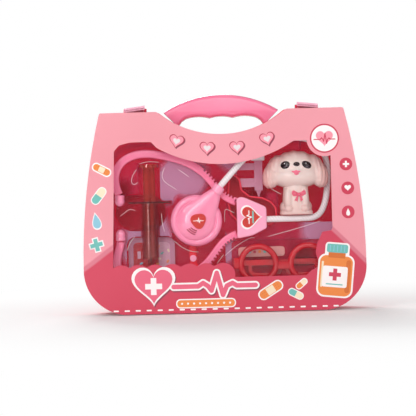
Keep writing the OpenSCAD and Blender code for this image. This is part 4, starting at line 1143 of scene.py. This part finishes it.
def bow():  # two loops and two tails round a knot
    x, z = 76.2, 116.4
    y = frontOf(body, x, z) - 0.6
    loops = []
    for side in (-1, 1):
        loop = [(0, 1.2), (side * 2.4, 2.6), (side * 5.2, 4.4), (side * 6.9, 3.2), (side * 7.1, 0.6),
                (side * 5.8, -1.6), (side * 3, -1.8), (0, -1.2)]
        tail = [(side * 0.4, 0), (side * 2.6, -2.2), (side * 4.8, -6.6), (side * 3, -6), (side * 1.6, -7.6)]
        for ring in (loop, tail):
            ring = ring if side < 0 else ring[::-1]
            loops.append(cutPlate("bowPart", [placed(ring, x, z)], y - 0.7, y + 2.6, 0.4, 3))
        loops.append(ball(x + side * 4.2, y - 0.4, z + 1.2, 2.3, 1.0, 1.5, (0, side * -14, 0)))
    loops.append(ball(x, y - 0.9, z, 1.7, 1.3, 1.9))
    whole = joinAll("bow", loops)
    choose(whole)
    crease(50)
    return whole


put(bow(), bowPink, "case", "deep_pink_plastic", "puppy_bow")
print("puppy done")


# floor, lights and camera

studio = {"floor": 12.0, "white": "#ffffff", "world": 0.45, "mirrored": 0.12, "near": 0.16, "far": 0.6}


def makeFloor():
    bpy.ops.mesh.primitive_plane_add(size=studio["floor"], location=(0, 0, -0.0005))
    floor = bpy.context.object
    floor.name = "studioFloor"
    material, tree, skin, place = newMaterial("paleFloor", studio["white"], 0.9)
    # close to the case the floor takes its shadow; further off it runs out into the white backdrop
    fade = ranged(tree, length(tree, place), studio["near"], studio["far"])
    path = addNode(tree, "LightPath").outputs
    seen = maths(tree, "MAXIMUM", path["Is Camera Ray"], path["Is Transmission Ray"])
    glow = addNode(tree, "Emission", {"Color": studio["white"], "Strength": 1.0})
    mix = addNode(tree, "MixShader", {0: maths(tree, "MULTIPLY", fade, seen), 1: skin.outputs[0],
                                      2: glow.outputs[0]})
    tree.links.new(mix.outputs[0], tree.nodes["Material Output"].inputs["Surface"])
    floor.data.materials.append(material)


def makeWorld():  # white to the camera, a soft light on all else, and dark in mirrored rays
    world = bpy.data.worlds.new("softStudio")
    bpy.context.scene.world = world
    world.use_nodes = True
    tree = world.node_tree
    light = tree.nodes["Background"]
    light.inputs["Color"].default_value = hexColour(studio["white"])
    light.inputs["Strength"].default_value = studio["world"]
    dark, backdrop = [addNode(tree, "Background", {"Color": studio["white"], "Strength": strength})
                      for strength in (studio["mirrored"], 1.0)]
    path = addNode(tree, "LightPath").outputs
    room = addNode(tree, "MixShader", {0: path["Is Glossy Ray"], 1: light.outputs[0], 2: dark.outputs[0]})
    mix = addNode(tree, "MixShader", {0: path["Is Camera Ray"], 1: room.outputs[0], 2: backdrop.outputs[0]})
    tree.links.new(mix.outputs[0], tree.nodes["World Output"].inputs["Surface"])


def softLamp(name, place, target, size, power):
    bpy.ops.object.light_add(type="AREA", location=place)
    lamp = bpy.context.object
    lamp.name = name
    lamp.data.shape = "RECTANGLE"
    lamp.data.size, lamp.data.size_y = size
    lamp.data.energy = power
    lamp.rotation_euler = (Vector(target) - Vector(place)).to_track_quat("-Z", "Y").to_euler()
    return lamp


makeFloor()
makeWorld()
lamps = {"key": ((-0.7, -1.1, 1.3), (0, 0, 0.1), (0.9, 0.6), 3.8),
         "fill": ((1.0, -1.0, 0.7), (0, 0, 0.1), (0.8, 0.8), 2.6),
         "back": ((-0.3, 1.2, 1.0), (0, 0, 0.1), (0.8, 0.5), 11.0),
         "front": ((0.05, -1.6, 0.75), (0, 0, 0.1), (0.8, 0.5), 4.0),
         "side": ((-0.68, -1.42, 0.35), (-0.07, 0, 0.1), (0.3, 1.4), 8.0)}
for name, (place, target, size, power) in lamps.items():
    softLamp(name + "Lamp", place, target, size, power)

# the camera looks straight at the front from a little left of the middle, rolled as in the photo
view = {"distance": 1.6, "x": -15.6, "z": 105.1, "width": 416, "face": -33, "roll": -1.5, "sensor": 36}


def makeCamera():
    bpy.ops.object.camera_add()
    camera = bpy.context.object
    camera.data.sensor_width = view["sensor"]
    camera.data.lens = view["sensor"] * view["distance"] / (view["width"] * mm)
    ahead = Vector((0, 1, 0))
    camera.location = Vector((view["x"], view["face"], view["z"])) * mm - ahead * view["distance"]
    facing = ahead.to_track_quat("-Z", "Y").to_euler()
    facing.rotate_axis("Z", math.radians(view["roll"]))
    camera.rotation_euler = facing
    camera.data.clip_start = 0.05
    camera.data.clip_end = 50
    bpy.context.scene.camera = camera


makeCamera()
scene = bpy.context.scene
scene.view_settings.view_transform = "Standard"
scene.cycles.transparent_max_bounces = 32
print("studio ready")
